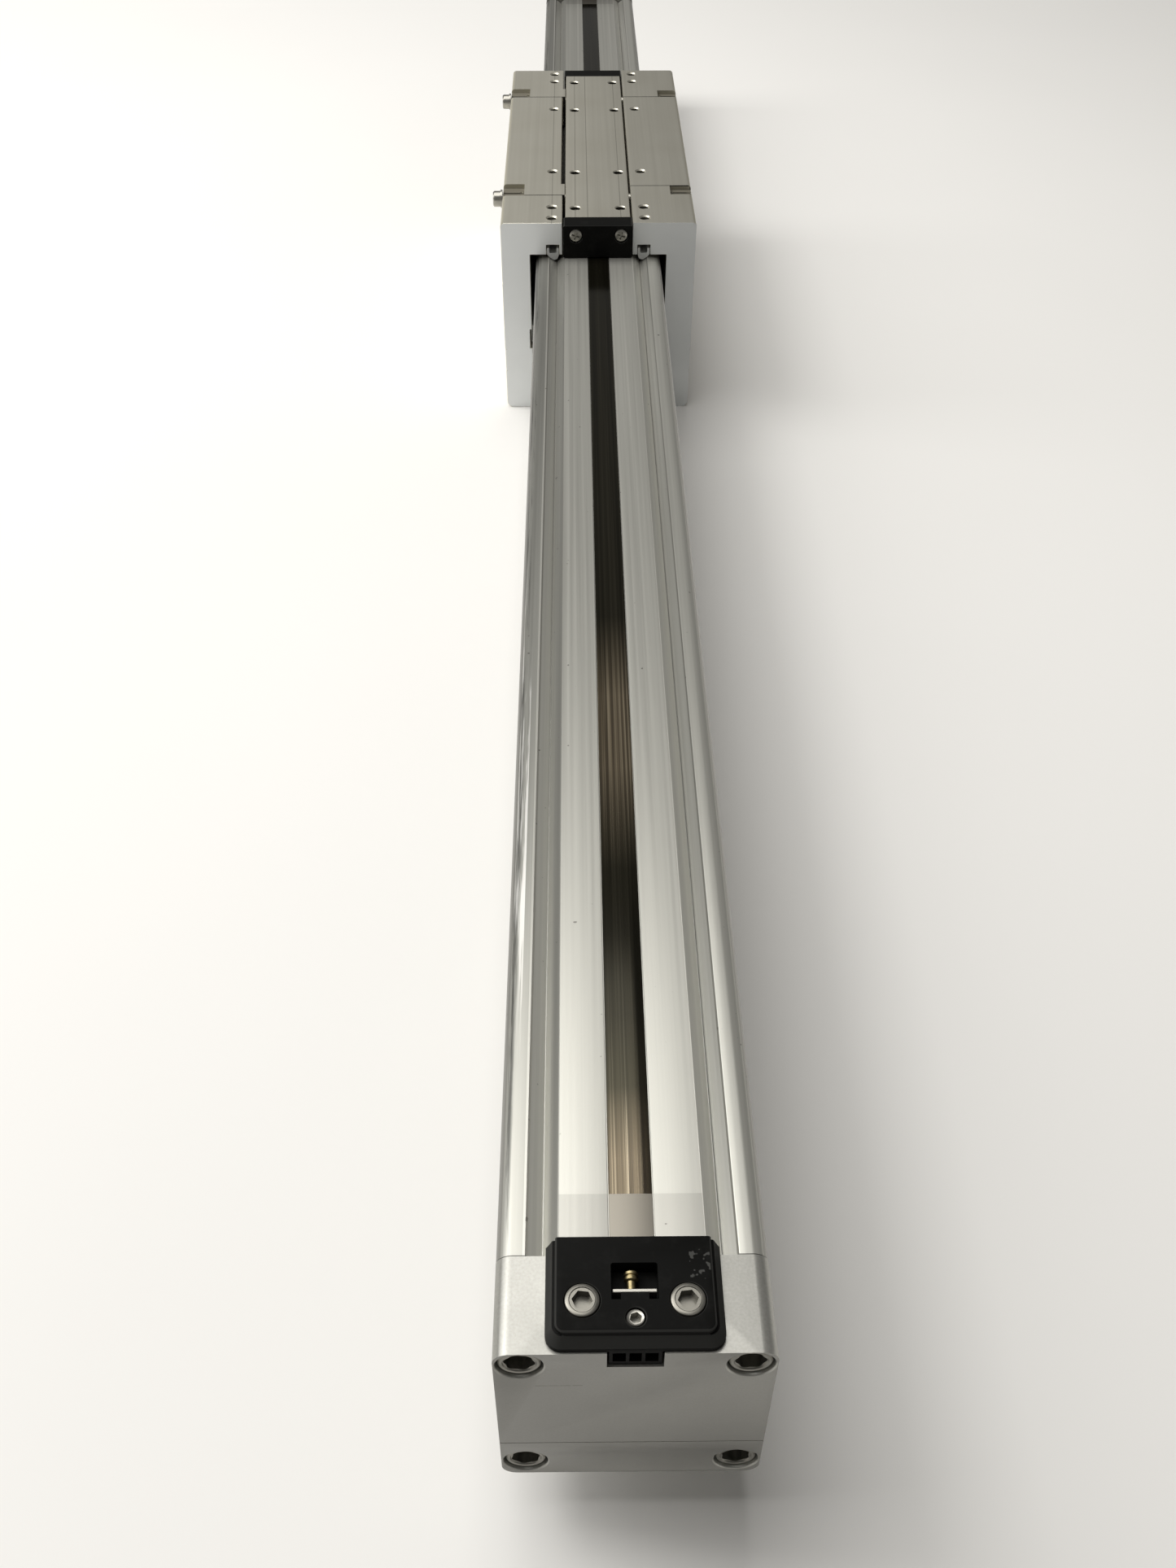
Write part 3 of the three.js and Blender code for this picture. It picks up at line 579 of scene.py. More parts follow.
def band_material():
    """Sealing band: clean grey steel at both ends, brown-black with golden streaks where it is wiped, with
    painted reflections as light gold zones and a dark zone at fixed places along it.
    """
    s = Shader("band_steel", 0.85, 0.24)
    y = s.axis("Y")
    streaks = s.noise(1500, (1, 0.003, 1), detail=5, roughness=0.65)
    wide = s.noise(420, (1, 0.006, 1), detail=3)
    brown = s.mix(s.remap(wide, 0.35, 0.65), rgb(0.018, 0.0165, 0.010), rgb(0.042, 0.038, 0.025))
    brown = s.mix(s.remap(streaks, 0.5, 0.72, 0, 0.6), brown, rgb(0.09, 0.082, 0.058))
    gold = s.mix(s.remap(wide, 0.35, 0.65), rgb(0.045, 0.036, 0.024), rgb(0.13, 0.105, 0.07))
    gold = s.mix(s.remap(streaks, 0.5, 0.7), gold, rgb(0.27, 0.23, 0.165))
    gold = s.mix(s.remap(streaks, 0.46, 0.30, 0, 0.7), gold, rgb(0.03, 0.025, 0.02))
    # Painted reflections: light gold zones near the end and the middle, and a dark zone between them.
    painted_reflection_at_end = s.hill(y, -496 * MM, 6 * MM, 22 * MM)
    painted_reflection_at_middle = s.hill(y, -327 * MM, 18 * MM, 45 * MM)
    painted_dark_reflection = s.hill(y, -430 * MM, 15 * MM, 30 * MM)
    tone = s.mix(s.math("MAXIMUM", painted_reflection_at_end, painted_reflection_at_middle), brown, gold)
    tone = s.scaled(tone, s.math("MULTIPLY_ADD", painted_reflection_at_middle, 1.2, 1.0))
    tone = s.scaled(tone, s.math("MULTIPLY_ADD", painted_dark_reflection, -0.45, 1.0))
    wiped = s.near(y, 0.0, (FAR_END - WIPED_FROM) * MM)
    tone = s.mix(wiped, rgb(0.21, 0.195, 0.165), tone)
    s.colour(tone)
    s.rough(s.remap(wiped, 0, 1, 0.34, 0.13))
    s.bump(streaks, 0.15, 0.00003)
    return s.material


def black_plastic():
    """Moulded black plastic, satin, with faint dust and a few flecks in one corner of the cover."""
    s = Shader("black_plastic", 0.0, 0.38)
    grain = s.noise(2200, detail=2)
    dust = s.noise(130, detail=5, roughness=0.7)
    tone = s.mix(s.remap(dust, 0.5, 0.75, 0, 0.6), rgb(0.007, 0.007, 0.0065), rgb(0.017, 0.017, 0.016))
    # Painted light: sloping faces are lighter than the flat top.
    tone = s.mix(s.tilted("Z", 0.25, 0.95), tone, rgb(0.035, 0.035, 0.033))
    along = s.near(s.axis("Y"), (NEAR_END + 18.5) * MM, 4 * MM)
    corner = s.math("MULTIPLY", s.near(s.axis("X"), 15.2 * MM, 2.4 * MM), along)
    flecks = s.remap(s.noise(700, detail=1), 0.56, 0.62, 0, 0.7)
    tone = s.mix(s.math("MULTIPLY", corner, flecks), tone, rgb(0.09, 0.09, 0.085))
    s.colour(tone)
    s.rough(s.remap(dust, 0.3, 0.7, 0.4, 0.55))
    s.surface.inputs["Specular IOR Level"].default_value = 0.03
    s.bump(grain, 0.12, 0.00005)
    return s.material


def steel(name, low, high, roughness):
    """Plated steel of the screws, with a soft mottle."""
    s = Shader(name, 0.85, roughness)
    mottle = s.noise(260, detail=4, roughness=0.5)
    s.colour(s.mix(s.remap(mottle, 0.3, 0.7), low, high))
    s.rough(s.remap(mottle, 0.3, 0.7, roughness - 0.06, roughness + 0.08))
    s.bump(mottle, 0.05, 0.00003)
    return s.material


def plain_with_grain(name, low, high, roughness, metallic=0.0, scale=1400):
    s = Shader(name, metallic, roughness)
    grain = s.noise(scale, detail=3)
    s.colour(s.mix(s.remap(grain, 0.3, 0.7), low, high))
    s.rough(s.remap(grain, 0.3, 0.7, roughness - 0.05, roughness + 0.06))
    s.bump(grain, 0.15, 0.00004)
    return s.material


RAIL = rail_material()
CAP = cap_material()
CARRIAGE = carriage_material()
MACHINED = machined_material()
BAND = band_material()
BLACK = black_plastic()
COVER_STEEL = steel("cover_screw_steel", rgb(0.17, 0.165, 0.145), rgb(0.25, 0.24, 0.21), 0.36)
BRIGHT_STEEL = steel("bright_steel", rgb(0.30, 0.29, 0.26), rgb(0.42, 0.41, 0.37), 0.32)
CAP_STEEL = steel("cap_screw_steel", rgb(0.16, 0.155, 0.135), rgb(0.30, 0.29, 0.26), 0.34)
BRASS = plain_with_grain("brass", rgb(0.20, 0.165, 0.085), rgb(0.34, 0.28, 0.155), 0.34, metallic=1.0)
SHOE = plain_with_grain("shoe_plastic", rgb(0.55, 0.56, 0.55), rgb(0.66, 0.67, 0.66), 0.4)
RUBBER = plain_with_grain("seal_rubber", rgb(0.012, 0.012, 0.012), rgb(0.03, 0.03, 0.03), 0.7)


# ---- rail ----------------------------------------------------------------------------------------
def flank():
    """Right half of the rail's section, from the underside to the foot of the slot's wall."""
    seat = 4.6
    seat_height = BORE_HEIGHT + math.sqrt(BORE_RADIUS**2 - seat**2)
    return [
        (RAIL_HALF, 0, 4), (RAIL_HALF, 13, 0.4), (RAIL_HALF - 4, 16.5, 0.5), (RAIL_HALF - 4, 21.5, 0.5),
        (RAIL_HALF, 25, 0.4), (RAIL_HALF, 64, 4), (25.4, 64, 0.25), (24.9, 63.4, 0.4), (21.5, 61.25),
        (21.5, 60.8), (21.2, 60.8), (21.2, 61.8, 0.15), (17.7, LAND, 0.3), (5.6, LAND, 0.12),
        (5.6, LAND - 0.6), (3.5, LAND - 0.6), (3.5, 50.4), (seat, 50.4), (seat, seat_height),
    ]


def rail_outline():
    right = rounded([(0, 0), *flank(), (0, BORE_HEIGHT)])[1:-1]
    edge = math.atan2(right[-1][1] - BORE_HEIGHT, right[-1][0])
    steps = 64
    bore = []
    for i in range(1, steps):
        angle = edge - i / steps * (math.pi + 2 * edge)
        bore.append((BORE_RADIUS * math.cos(angle), BORE_HEIGHT + BORE_RADIUS * math.sin(angle)))
    return [tuple(p) for p in right] + bore + mirror([tuple(p) for p in right])


def build_barrel():
    barrel = sweep("rail_profile", rail_outline(), BARREL_START, BARREL_END)
    upper = [
        (7, 53.3, 1), (11, 51.5), (15, 48.5), (19, 44.5), (22.5, 41.5, 1), (28.5, 42, 1), (28.5, 53, 1),
        (22, 56, 1), (17, 60.5, 1), (7, 60.5, 1),
    ]
    lower = [
        (3, 3.5, 1), (20.5, 3.5, 1), (21.5, 9.8), (25.3, 12.8, 1), (25.3, 26, 0.6), (23.5, 22),
        (20.5, 17.3), (16, 12.4), (10, 8.4), (3, 6.3, 0.6),
    ]
    tools = []
    for chamber in (upper, lower, mirror(upper), mirror(lower)):
        tools.append(sweep("tool", rounded(chamber, 3), BARREL_START - 1, BARREL_END + 1))
    cut(barrel, *tools)
    smooth(barrel)
    finish_piece(barrel, "rail", "anodised_rail", RAIL, "barrel")


def build_bands():
    inner_end = BARREL_END - 2
    top = LAND - 0.05
    outer = [(-BAND_HALF, top - 0.45, 0.15), (BAND_HALF, top - 0.45, 0.15), (BAND_HALF, top - 0.05, 0.15),
             (0, top + 0.02), (-BAND_HALF, top - 0.05, 0.15)]
    strip = sweep("outer_band_strip", rounded(outer), NEAR_END + 13, FAR_END - 13)
    finish_piece(smooth(strip, 50), "rail", "band_steel", BAND, "outer_band")
    inner = [(-4.2, 49.55, 0.12), (4.2, 49.55, 0.12), (4.2, 49.95, 0.12), (-4.2, 49.95, 0.12)]
    strip = sweep("inner_band_strip", rounded(inner, 3), -inner_end, inner_end)
    finish_piece(smooth(strip, 50), "rail", "band_steel", BAND, "inner_band")


# ---- end of the rail: drawn at the near end; turn_far() makes the far end's copy --------------------
def turn_far(obj):
    obj.data.transform(Matrix.Rotation(math.pi, 4, "Z"))
    return obj


def rectangle(x0, x1, z0, z1, radius):
    return rounded([(x0, z0, radius), (x1, z0, radius), (x1, z1, radius), (x0, z1, radius)], 8)


def end_cap():
    y0 = NEAR_END
    y1 = NEAR_END + CAP_LENGTH
    cap = sweep("end_cap_body", rectangle(-RAIL_HALF, RAIL_HALF, 0, CAP_TOP, 4), y0, y1)
    boss = turned("tool", [(19.3, 0), (19.7, 0.5), (19.7, 8.6), (19.3, 9)], (0, y1 - 1, BORE_HEIGHT), "y", 64)
    join(cap, boss)
    tools = [
        block("tool", -6.5, 6.5, y0 - 1, y1 + 1, 58.5, 68),
        block("tool", -6, 6, y1 + 0.01, y1 + 9, 48.5, 52),
        turned("tool", [(0, 0), (6.9, 0), (6.9, 14.2), (7.5, 14.8), (7.5, 17)], (18, y0 + 12, 34), "x"),
        block("tool", -40, 40, y0 - 1, y0 + 0.12, SCRIBED_HEIGHT - 0.15, SCRIBED_HEIGHT + 0.1),
    ]
    for side in SIDES.values():
        for height in CAP_SCREW_HEIGHTS.values():
            bore = [(0, 0), (2.8, 0), (2.8, 18.5), (5.6, 18.5), (5.6, 24.7), (5.95, 25), (5.95, 27)]
            tools.append(turned("tool", bore, (side * CAP_SCREW_X, y1 + 1, height), "-y"))
        spot = (side * COVER_SCREW_X, y0 + COVER_SCREW_INSET, 54)
        tools.append(turned("tool", [(0, 0), (2.3, 0), (2.3, 12)], spot))
    cut(cap, *tools)
    return soften(cap, 0.35)


def cap_screw(x, height, turn):
    """Socket head screw down a corner counterbore, its head just below the cap's face."""
    y = NEAR_END + CAP_SCREW_INSET
    profile = [
        (0, 34), (2.2, 34), (2.5, 33.5), (2.5, 5.5), (4.9, 5.5), (5.1, 5.3), (5.1, 0.7), (4.95, 0.25),
        (4.6, 0), (4.0, 0.05), (3.75, 0.35), (0, 0.35),
    ]
    screw = turned("cap_screw", profile, (x, y, height), "y", 48)
    cut(screw, six_lobe("tool", 3.7, -1, 3.4, (x, y, height), "y", turn))
    return smooth(screw)


def cover_outline(half, front, radius):
    """Plan of the band cover, square at the rear and rounded at its two outer corners."""
    rear = NEAR_END + 25.2
    return rounded([(-half, rear), (-half, front, radius), (half, front, radius), (half, rear)], 6)


def band_cover():
    """Two-step cover: a skirt with sloping flanks under a raised plate, with window and recesses."""
    y0 = NEAR_END
    steps = [
        (20.5, 0.4, 3.6, 65.2), (20.5, 0.4, 3.6, 66.4), (20.2, 0.6, 3.4, 66.8), (18.9, 1.9, 2.6, 69.6),
        (18.3, 2.3, 2.3, 69.75), (18.2, 2.1, 2.2, 69.9), (18.2, 2.1, 2.2, 70.9), (17.9, 2.4, 1.9, 71.25),
        (17.5, 2.8, 1.6, COVER_TOP),
    ]
    bm = bmesh.new()
    rings = []
    for half, inset, radius, height in steps:
        rings.append([bm.verts.new((p[0], p[1], height)) for p in cover_outline(half, y0 + inset, radius)])
    for low, high in zip(rings, rings[1:]):
        for i in range(len(low)):
            j = (i + 1) % len(low)
            bm.faces.new((low[i], low[j], high[j], high[i]))
    bm.faces.new(rings[0][::-1])
    bm.faces.new(rings[-1])
    cover = add_object("band_cover", bm)
    join(cover, block("tool", -6, 6, y0 + 0.5, y0 + 11, 59, 65.6))
    w0, w1 = (y0 + inset for inset in WINDOW_INSET)
    window = [(-WINDOW_HALF, w0), (WINDOW_HALF, w0), (WINDOW_HALF, w1, 0.6), (-WINDOW_HALF, w1, 0.6)]
    set_screw_hole = [(0, 0), (2.35, 0), (2.35, 12.1), (2.6, 12.4), (2.6, 15)]
    tools = [
        sweep("tool", rounded(window), WINDOW_FLOOR, 73, "z"),
        block("tool", -6, 6, w0 - 0.2, y0 + 26, 64, 66.3),
        turned("tool", set_screw_hole, (0, y0 + SET_SCREW_INSET, 59)),
    ]
    for side in SIDES.values():
        tools.append(block("tool", *sorted((side * 3.2, side * WINDOW_HALF)), y0 + 9.7, w0 + 0.5, 68, 73))
        tools.append(block("tool", *sorted((side * 2.2, side * 5.2)), y0 - 1, y0 + 2.2, 60.2, 64.2))
        recess = [(0, 0), (2.3, 0), (2.3, 4), (4.25, 4), (4.25, 7.2), (4.4, 7.4), (4.4, 9)]
        tools.append(turned("tool", recess, (side * COVER_SCREW_X, y0 + COVER_SCREW_INSET, 64), segments=48))
    tools.append(block("tool", -1.4, 1.4, y0 - 1, y0 + 2.2, 60.2, 64.2))
    cut(cover, *tools)
    return smooth(cover, 28)


def cover_screw(side):
    place = (side * COVER_SCREW_X, NEAR_END + COVER_SCREW_INSET, 55)
    profile = [
        (0, 0), (1.7, 0), (2, 0.4), (2, 13.3), (4.05, 13.3), (4.05, 16.1), (3.9, 16.5), (3.6, 16.65),
        (3.1, 16.7), (2.9, 16.5), (0, 16.5),
    ]
    screw = turned("cover_screw", profile, place, segments=48)
    cut(screw, hexagon("tool", 4.2, 14.0, 18, place, turn=0.12 * side))
    return smooth(screw, 40)


def clamp_set_screw():
    place = (0, NEAR_END + SET_SCREW_INSET, 59.5)
    profile = [(0, 0), (1.2, 0), (2.15, 0.9), (2.15, 11.2), (1.9, 11.55), (1.6, 11.4), (0, 11.4)]
    screw = turned("clamp_set_screw", profile, place, segments=32)
    return smooth(cut(screw, hexagon("tool", 2.5, 9, 12, place, turn=0.3)), 40)


def clamp_plate():
    """Upright plate across the window; its top edge shows as a bright line."""
    y = NEAR_END + PLATE_INSET
    return soften(block("clamp_plate", -5.1, 5.1, y, y + 0.9, 67.1, 70.9), 0.15)


def clamp_pin():
    """Brass pin with a collar, standing out from the plate towards the carriage."""
    profile = [
        (0, 0), (1.1, 0), (1.1, 2.3), (1.5, 2.4), (1.7, 2.6), (1.7, 3.2), (1.4, 3.4), (1.4, 3.6),
        (1.7, 3.8), (1.7, 4.4), (1.3, 4.8), (0, 5),
    ]
    return smooth(turned("clamp_pin", profile, (-0.7, NEAR_END + PLATE_INSET + 1.0, 69), "y"), 40)


def boss_ring():
    y = NEAR_END + CAP_LENGTH + 3.3
    ring = turned("boss_ring", [(18, 0), (19.5, 0), (19.8, 0.6), (19.8, 1.8), (19.5, 2.4), (18, 2.4)],
                  (0, y, BORE_HEIGHT), "y", 72)
    cut(ring, turned("tool", [(0, 0), (17.9, 0), (17.9, 5), (0, 5)], (0, y - 1, BORE_HEIGHT), "y", 72))
    return smooth(cut(ring, block("tool", -6, 6, y - 1, y + 4, 48.2, 51)))


def cushion_spigot():
    profile = [(0, 4), (3, 4), (3, 24), (6.4, 24), (7, 23), (7, 0.5), (6.5, 0), (0, 0)]
    return smooth(turned("cushion_spigot", profile, (0, NEAR_END + CAP_LENGTH + 2.3, BORE_HEIGHT), "y"))


def port_plug():
    place = (RAIL_HALF - 10, NEAR_END + 12, 34)
    plug = turned("port_plug", [(0, 0), (6, 0), (6.6, 0.8), (6.6, 9), (6.2, 9.5), (0, 9.5)], place, "x", 48)
    return smooth(cut(plug, hexagon("tool", 6.0, 5, 11, place, "x")))


def build_end(end):
    """Every piece of one end. Left and right are as seen from the near end before the far end is turned."""
    pieces = [
        ("end_cap", end_cap(), "anodised_cap", CAP),
        ("band_cover", band_cover(), "black_plastic", BLACK),
        ("cover_screw_left", cover_screw(-1), "bright_steel", COVER_STEEL),
        ("cover_screw_right", cover_screw(1), "bright_steel", COVER_STEEL),
        ("clamp_set_screw", clamp_set_screw(), "bright_steel", BRIGHT_STEEL),
        ("clamp_plate", clamp_plate(), "bright_steel", BRIGHT_STEEL),
        ("clamp_pin", clamp_pin(), "brass", BRASS),
        ("boss_ring", boss_ring(), "seal_rubber", RUBBER),
        ("cushion_spigot", cushion_spigot(), "bright_steel", BRIGHT_STEEL),
        ("port_plug", port_plug(), "bright_steel", BRIGHT_STEEL),
    ]
    for hand, side in SIDES.items():
        for row, height in CAP_SCREW_HEIGHTS.items():
            screw = cap_screw(side * CAP_SCREW_X, height, 0.4 * side + 0.01 * height)
            pieces.append((f"cap_screw_{row}_{hand}", screw, "cap_screw_steel", CAP_STEEL))
    for name, obj, slot, material in pieces:
        if end == "far":
            turn_far(obj)
        obj.name = f"{end}_{name}_made"
        finish_piece(obj, "rail", slot, material, f"{end}_{name}")


# ---- carriage ------------------------------------------------------------------------------------
def threaded_hole(x, y, top, depth=11):
    """Cutter for a tapped hole: a countersink, then a bore with thread grooves, then a drill point."""
    profile = [(0, -depth - 1.2), (2.3, -depth)]
    pitch = 0.8
    turns = int((depth - 2) / pitch)
    for i in range(turns):
        base = -depth + 0.8 + i * pitch
        profile += [(2.2, base), (2.6, base + pitch / 2)]
    profile += [(2.45, -0.7), (3.05, 0), (3.05, 1)]
    return turned("tool", profile, (x, y, top), segments=28)


def yoke():
    shoulder = YOKE_RIGHT - YOKE_SHOULDER
    section = [
        (YOKE_LEFT, 65.2, 0.3), (-15.4, 65.2), (-15.4, 68.9), (-6.2, 68.9), (-6.2, 73.5), (6.2, 73.5),
        (6.2, 68.9), (15.4, 68.9), (15.4, 65.2), (YOKE_RIGHT, 65.2, 0.3), (YOKE_RIGHT, 73.5),
        (shoulder, 73.5), (shoulder, YOKE_TOP, 0.4), (YOKE_LEFT, YOKE_TOP, 0.5),
    ]
    bar = sweep("yoke_bar", rounded(section, 4), YOKE_START, YOKE_END)
    tools = []
    for side, edge in ((-1, YOKE_LEFT), (1, YOKE_RIGHT)):
        for step in (-2, -1, 1, 2):
            tools.append(threaded_hole(side * YOKE_HOLE_X, CARRIAGE_CENTRE + step * HOLE_PITCH, YOKE_TOP))
        hole = [(0, -8), (CLAMP_HOLE_RADIUS, -8), (CLAMP_HOLE_RADIUS, 1), (0, 1)]
        for y in CLAMP_PLACES:
            axis = "x" if side > 0 else "-x"
            tools.append(turned("tool", hole, (edge, y, CLAMP_HEIGHT), axis, 24))
        for y, axis in ((YOKE_START, "y"), (YOKE_END, "-y")):
            spot = (side * WIPER_SCREW_X, y, WIPER_SCREW_HEIGHT)
            tools.append(turned("tool", [(0, -1), (1.8, -1), (1.8, 9), (0, 10)], spot, axis, 20))
    return smooth(cut(bar, *tools))


def block_section(inner):
    """Section of a right-hand guide block: flange, notch for the upper shoe, and leg down the side."""
    outer = CARRIAGE_HALF
    foot = -LIFT
    slot = LEG_INNER + SHOE_SLOT_DEPTH
    return [
        (inner, FLANGE_BOTTOM, 0.3), (20.2, FLANGE_BOTTOM, 0.3), (20.2, 70.9), (27, 70.9),
        (27, FLANGE_BOTTOM, 0.3), (LEG_INNER, FLANGE_BOTTOM, 0.4), (LEG_INNER, 24.6, 0.2), (slot, 24.6),
        (slot, 13.9), (LEG_INNER, 13.9, 0.2), (LEG_INNER, foot, 1.8), (outer - 0.2, foot, 3.2),
        (outer - 0.2, 0.5), (outer - 0.7, 0.75), (outer - 0.2, 1), (outer - 0.2, 12.9), (outer - 0.7, 13.2),
        (outer, 13.5),
        (outer, 50.2), (outer - 0.5, 50.5), (outer, 50.8), (outer, FLANGE_TOP, 2.0), (inner, FLANGE_TOP, 0.4),
    ]


def pockets(hand):
    """Milled pockets in the flange's outer corner beside the block seams, as (start, end) along Y."""
    front = extent(f"{hand}_near_block", 1)[1]
    rear = extent(f"{hand}_middle_block", 1)[1]
    if hand == "left":
        return [(front, front + 15.5), (rear, rear + 14.5)]
    return [(front - 12.2, front), (rear, rear + 11.5)]


def guide_block(hand, end):
    side = SIDES[hand]
    start, stop = extent(f"{hand}_{end}_block", 1)
    edge = FLANGE_INNER[hand][end]
    section = block_section(edge)
    body = sweep("guide_block", rounded(section if side > 0 else mirror(section)), start, stop)
    holds = [span for span in pockets(hand) if start - 1 < sum(span) / 2 < stop + 1]
    for low, high in holds:
        low, high = max(low, start), min(high, stop)
        if hand == "left":
            tab = [
                (edge + 1, FLANGE_TOP), (TAB_INNER, FLANGE_TOP, 0.4), (TAB_INNER, FLANGE_BOTTOM, 0.3),
                (edge + 1, FLANGE_BOTTOM),
            ]
            join(body, sweep("tool", rounded([(side * c[0], *c[1:]) for c in tab]), low, high))
        before = 1 if low == start else 0
        after = 1 if high == stop else 0
        across = sorted((side * POCKET_INNER, side * 55))
        cut(body, block("tool", *across, low - before, high + after, POCKET_FLOOR, 84))
        spot = (side * 40.1, (low + high) / 2 + 2, POCKET_FLOOR - 2)
        cut(body, turned("tool", [(0, 0), (1, 0), (1, 3), (0, 3)], spot, segments=16))
    for step in (-END_HOLE_STEP, -2, -1, 1, 2, END_HOLE_STEP):
        y = CARRIAGE_CENTRE + step * HOLE_PITCH
        if start < y < stop:
            cut(body, threaded_hole(side * FLANGE_HOLE_X, y, FLANGE_TOP, 10))
    hole = [(0, 0), (CLAMP_HOLE_RADIUS, 0), (CLAMP_HOLE_RADIUS, 45), (0, 45)]
    for y in CLAMP_PLACES:
        if start < y < stop:
            axis = "x" if side > 0 else "-x"
            cut(body, turned("tool", hole, (side * 15, y, CLAMP_HEIGHT), axis, 28))
    return soften(body, 0.2, angle=50)


def wiper_cover(end):
    """Black end cover of the yoke, with a lip over the band and two screw recesses."""
    start, stop = extent(f"{end}_wiper_cover", 1)
    side = -1 if end == "near" else 1
    outer = start if side < 0 else stop
    low = LAND + 0.4
    section = [
        (-18, low, 0.4), (-5.8, low), (-5.8, low + 0.4), (5.8, low + 0.4), (5.8, low), (17.5, low, 0.4),
        (17.5, YOKE_TOP, 0.8), (-18, YOKE_TOP, 0.8),
    ]
    cover = sweep("wiper_cover", rounded(section), start, stop)
    axis = "y" if side < 0 else "-y"
    for x in (-WIPER_SCREW_X, WIPER_SCREW_X):
        recess = [(0, -1), (3.7, -1), (3.7, 1.8), (1.8, 1.8), (1.8, 13), (0, 13)]
        cut(cover, turned("tool", recess, (x, outer, WIPER_SCREW_HEIGHT), axis, 32))
    return soften(cover, 0.45, 3)


def wiper_screw(end, side_x):
    side = -1 if end == "near" else 1
    start, stop = extent(f"{end}_wiper_cover", 1)
    y = (start if side < 0 else stop) - side * 0.1
    axis = "y" if side < 0 else "-y"
    place = (side_x, y, WIPER_SCREW_HEIGHT)
    profile = [
        (0, 17), (1.2, 17), (1.5, 16.5), (1.5, 1.6), (3.2, 1.6), (3.3, 1.2), (3.1, 0.5), (2.4, 0.15), (0, 0),
    ]
    screw = turned("wiper_screw", profile, place, axis, 36)
    for turn in (0.3, 0.3 + math.pi / 2):
        bar = sweep("tool", [(-2, -0.38), (2, -0.38), (2, 0.38), (-2, 0.38)], -1, 1.1, "z")
        bar.data.transform(Matrix.Translation(place) @ AXIS_TURN[axis] @ Matrix.Rotation(turn, 4, "Z"))
        cut(screw, bar)
    return smooth(screw, 40)


def clamp_screw(hand, end):
    y = sum(extent(f"{hand}_{end}_clamp_screw", 1)) / 2
    if hand == "right":
        profile = [(0, 0), (1.8, 0), (2.5, 0.8), (2.5, 37.8), (2.1, 38.2), (0, 38.2)]
        place = (YOKE_RIGHT - 7, y, CLAMP_HEIGHT)
        screw = turned("clamp_screw", profile, place, "x", 36)
        return smooth(cut(screw, hexagon("tool", 2.5, 35, 40, place, "x")))
    place = (YOKE_LEFT + 7, y, CLAMP_HEIGHT)
    face = CARRIAGE_HALF + YOKE_LEFT + 7.3
    profile = [
        (0, 0), (2, 0), (2.5, 0.6), (2.5, face), (4.6, face), (4.6, face + 1), (4.0, face + 1),
        (4.0, face + 4.4), (3.5, face + 5), (0, face + 5),
    ]
    screw = turned("clamp_screw", profile, place, "-x", 44)
    return smooth(cut(screw, hexagon("tool", 4.0, face + 2.4, face + 7, place, "-x")))


def shoe(hand, row):
    """Slide strip: the upper one sits in a flange's notch, the lower one in a leg's slot."""
    start, stop = extent(f"{hand}_{row}_shoe", 1)
    if row == "upper":
        section = [
            (20.5, 65.6, 1.0), (21.2, 63.4, 1.1), (23.0, 62.7, 1.0), (25.3, 64.2, 1.0), (26.7, 65.8, 1.0),
            (26.7, 69, 0.3), (25.5, 69, 0.3), (25.5, 66.2, 0.9), (21.7, 66.2, 0.9), (21.7, 69, 0.3),
            (20.5, 69, 0.3),
        ]
    else:
        outer = LEG_INNER + 0.8
        section = [
            (29.2, 17.6, 0.6), (33, 14.2, 0.6), (outer, 14.2, 0.3), (outer, 24.3, 0.3), (33, 24.3, 0.6),
            (29.2, 20.9, 0.6),
        ]
    corners = section if hand == "right" else mirror(section)
    return smooth(sweep("slide_shoe", rounded(corners, 4), start, stop), 40)


def piston_core():
    """Round piston with its web through the slot and the bridge plate that carries the yoke."""
    start, stop = extent("piston_core", 1)
    length = stop - start
    head = [(9, 75), (9, 0), (18.2, 0), (18.8, 0.6), (18.8, 6), (16.6, 6), (16.6, 13), (18.8, 13)]
    other_head = [(radius, length - height) for radius, height in reversed(head)]
    profile = [(0, 75), *head, *other_head, (0, length - 75)]
    core = turned("piston_core", profile, (0, start, BORE_HEIGHT), "y", 64)
    middle = (start + stop) / 2
    for side in (-1, 1):
        low, high = sorted((middle + side * 34, middle + side * 92))
        cut(core, block("tool", -5.2, 5.2, low, high, 41.5, 52))
    cut(core, block("tool", -5.2, 5.2, middle - 35, middle + 35, 41.5, 45))
    join(core, block("tool", -3, 3, middle - 33, middle + 33, 45.5, 66))
    join(core, block("tool", -15, 15, middle - 45, middle + 45, 65.2, 68.6))
    return smooth(core)


def piston_seal(end):
    start, stop = extent(f"{end}_piston_seal", 1)
    width = stop - start
    profile = [
        (16.9, 0), (18.9, 0), (19.3, 0.8), (18.6, width / 2), (19.3, width - 0.8), (18.9, width),
        (16.9, width),
    ]
    ring = turned("piston_seal", profile, (0, start, BORE_HEIGHT), "y", 72)
    hole = [(0, -1), (16.85, -1), (16.85, width + 1), (0, width + 1)]
    return smooth(cut(ring, turned("tool", hole, (0, start, BORE_HEIGHT), "y", 72)))


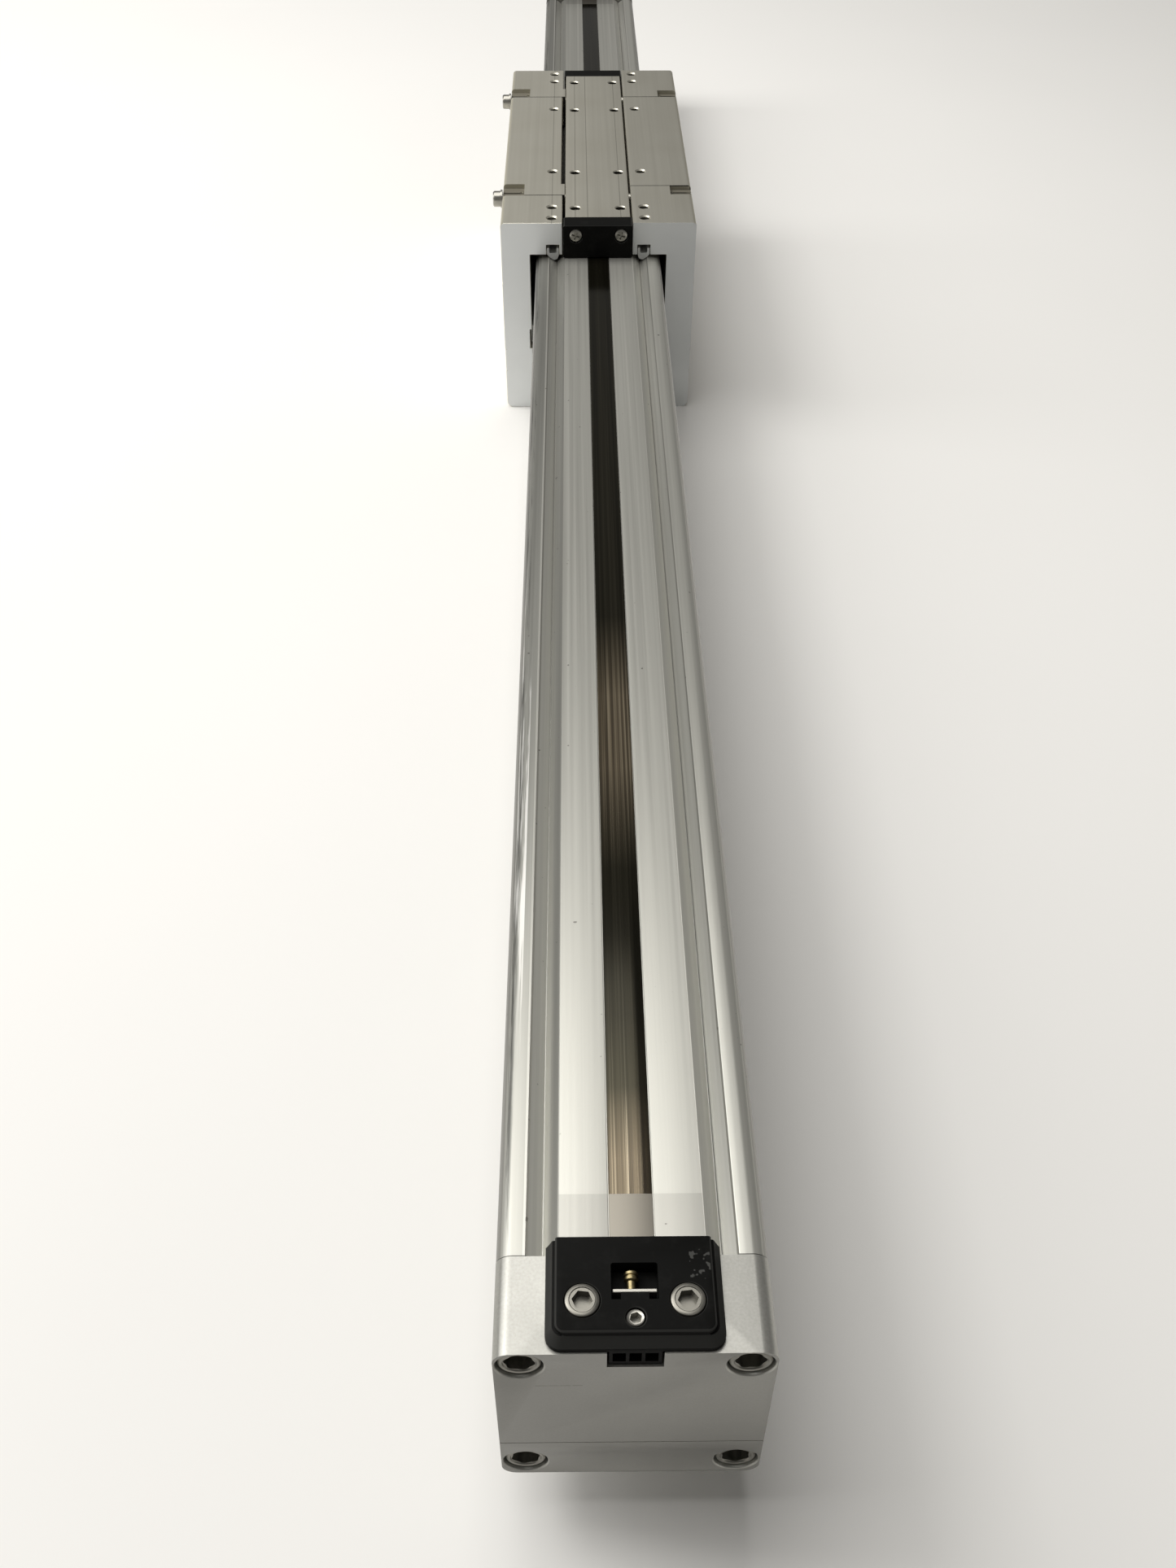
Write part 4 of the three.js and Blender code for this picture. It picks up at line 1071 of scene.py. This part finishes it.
def build_carriage():
    pieces = [
        ("piston_core", piston_core(), "machined_aluminium", MACHINED),
        ("yoke", yoke(), "anodised_carriage", CARRIAGE),
    ]
    for end in ("near", "far"):
        pieces.append((f"{end}_piston_seal", piston_seal(end), "seal_rubber", RUBBER))
        pieces.append((f"{end}_wiper_cover", wiper_cover(end), "black_plastic", BLACK))
        for hand, side in SIDES.items():
            screw = wiper_screw(end, side * WIPER_SCREW_X)
            pieces.append((f"{end}_wiper_screw_{hand}", screw, "bright_steel", BRIGHT_STEEL))
            pieces.append((f"{hand}_{end}_clamp_screw", clamp_screw(hand, end), "bright_steel", BRIGHT_STEEL))
    for hand in SIDES:
        for end in ("near", "middle", "far"):
            pieces.append((f"{hand}_{end}_block", guide_block(hand, end), "anodised_carriage", CARRIAGE))
        for row in ("upper", "lower"):
            pieces.append((f"{hand}_{row}_shoe", shoe(hand, row), "shoe_plastic", SHOE))
    for name, obj, slot, material in pieces:
        obj.name = f"{name}_made"
        finish_piece(obj, "carriage", slot, material, name)


# ---- stage ---------------------------------------------------------------------------------------
def build_floor():
    s = Shader("paper_floor", 0.0, 0.75)
    clouds = s.noise(2.2, detail=3)
    s.colour(s.mix(s.remap(clouds, 0.3, 0.7), rgb(0.86, 0.85, 0.825), rgb(0.885, 0.875, 0.85)))
    bm = bmesh.new()
    bmesh.ops.create_grid(bm, x_segments=1, y_segments=1, size=8)
    floor = add_object("floor", bm)
    floor.data.materials.append(s.material)


def area_light(name, place, target, size, power, colour=(1, 1, 1)):
    data = bpy.data.lights.new(name, "AREA")
    data.shape = "RECTANGLE"
    data.size, data.size_y = size
    data.energy = power
    data.color = colour
    light = bpy.data.objects.new(name, data)
    light.location = place
    light.rotation_euler = (Vector(target) - Vector(place)).to_track_quat("-Z", "Y").to_euler()
    bpy.context.scene.collection.objects.link(light)


def build_lights():
    world = bpy.data.worlds.new("room")
    world.use_nodes = True
    background = world.node_tree.nodes["Background"]
    background.inputs["Color"].default_value = rgb(1.0, 0.985, 0.95)
    background.inputs["Strength"].default_value = 0.16
    bpy.context.scene.world = world
    area_light("panel", (-0.73, 0.2, 1.9), (-0.68, 0.2, 0), (1.8, 1.9), 36, (1.0, 0.985, 0.96))
    area_light("window", (-2.1, 0.3, 1.9), (0, 0.2, 0), (1.0, 2.2), 42, (1.0, 0.99, 0.97))


def build_camera():
    data = bpy.data.cameras.new("camera")
    data.sensor_fit = "AUTO"
    data.sensor_width = 36.0
    data.lens = 33.32
    data.clip_start = 0.01
    data.clip_end = 50
    camera = bpy.data.objects.new("camera", data)
    camera.location = (-0.01213, -0.6900, 0.40165)
    pitch_down = 0.7526
    yaw_right = 0.0092
    camera.rotation_euler = (math.pi / 2 - pitch_down, 0.0, -yaw_right)
    bpy.context.scene.collection.objects.link(camera)
    bpy.context.scene.camera = camera


build_camera()
build_barrel()
build_bands()
build_end("near")
build_end("far")
build_carriage()
build_floor()
build_lights()
bpy.context.scene.view_settings.view_transform = "Standard"
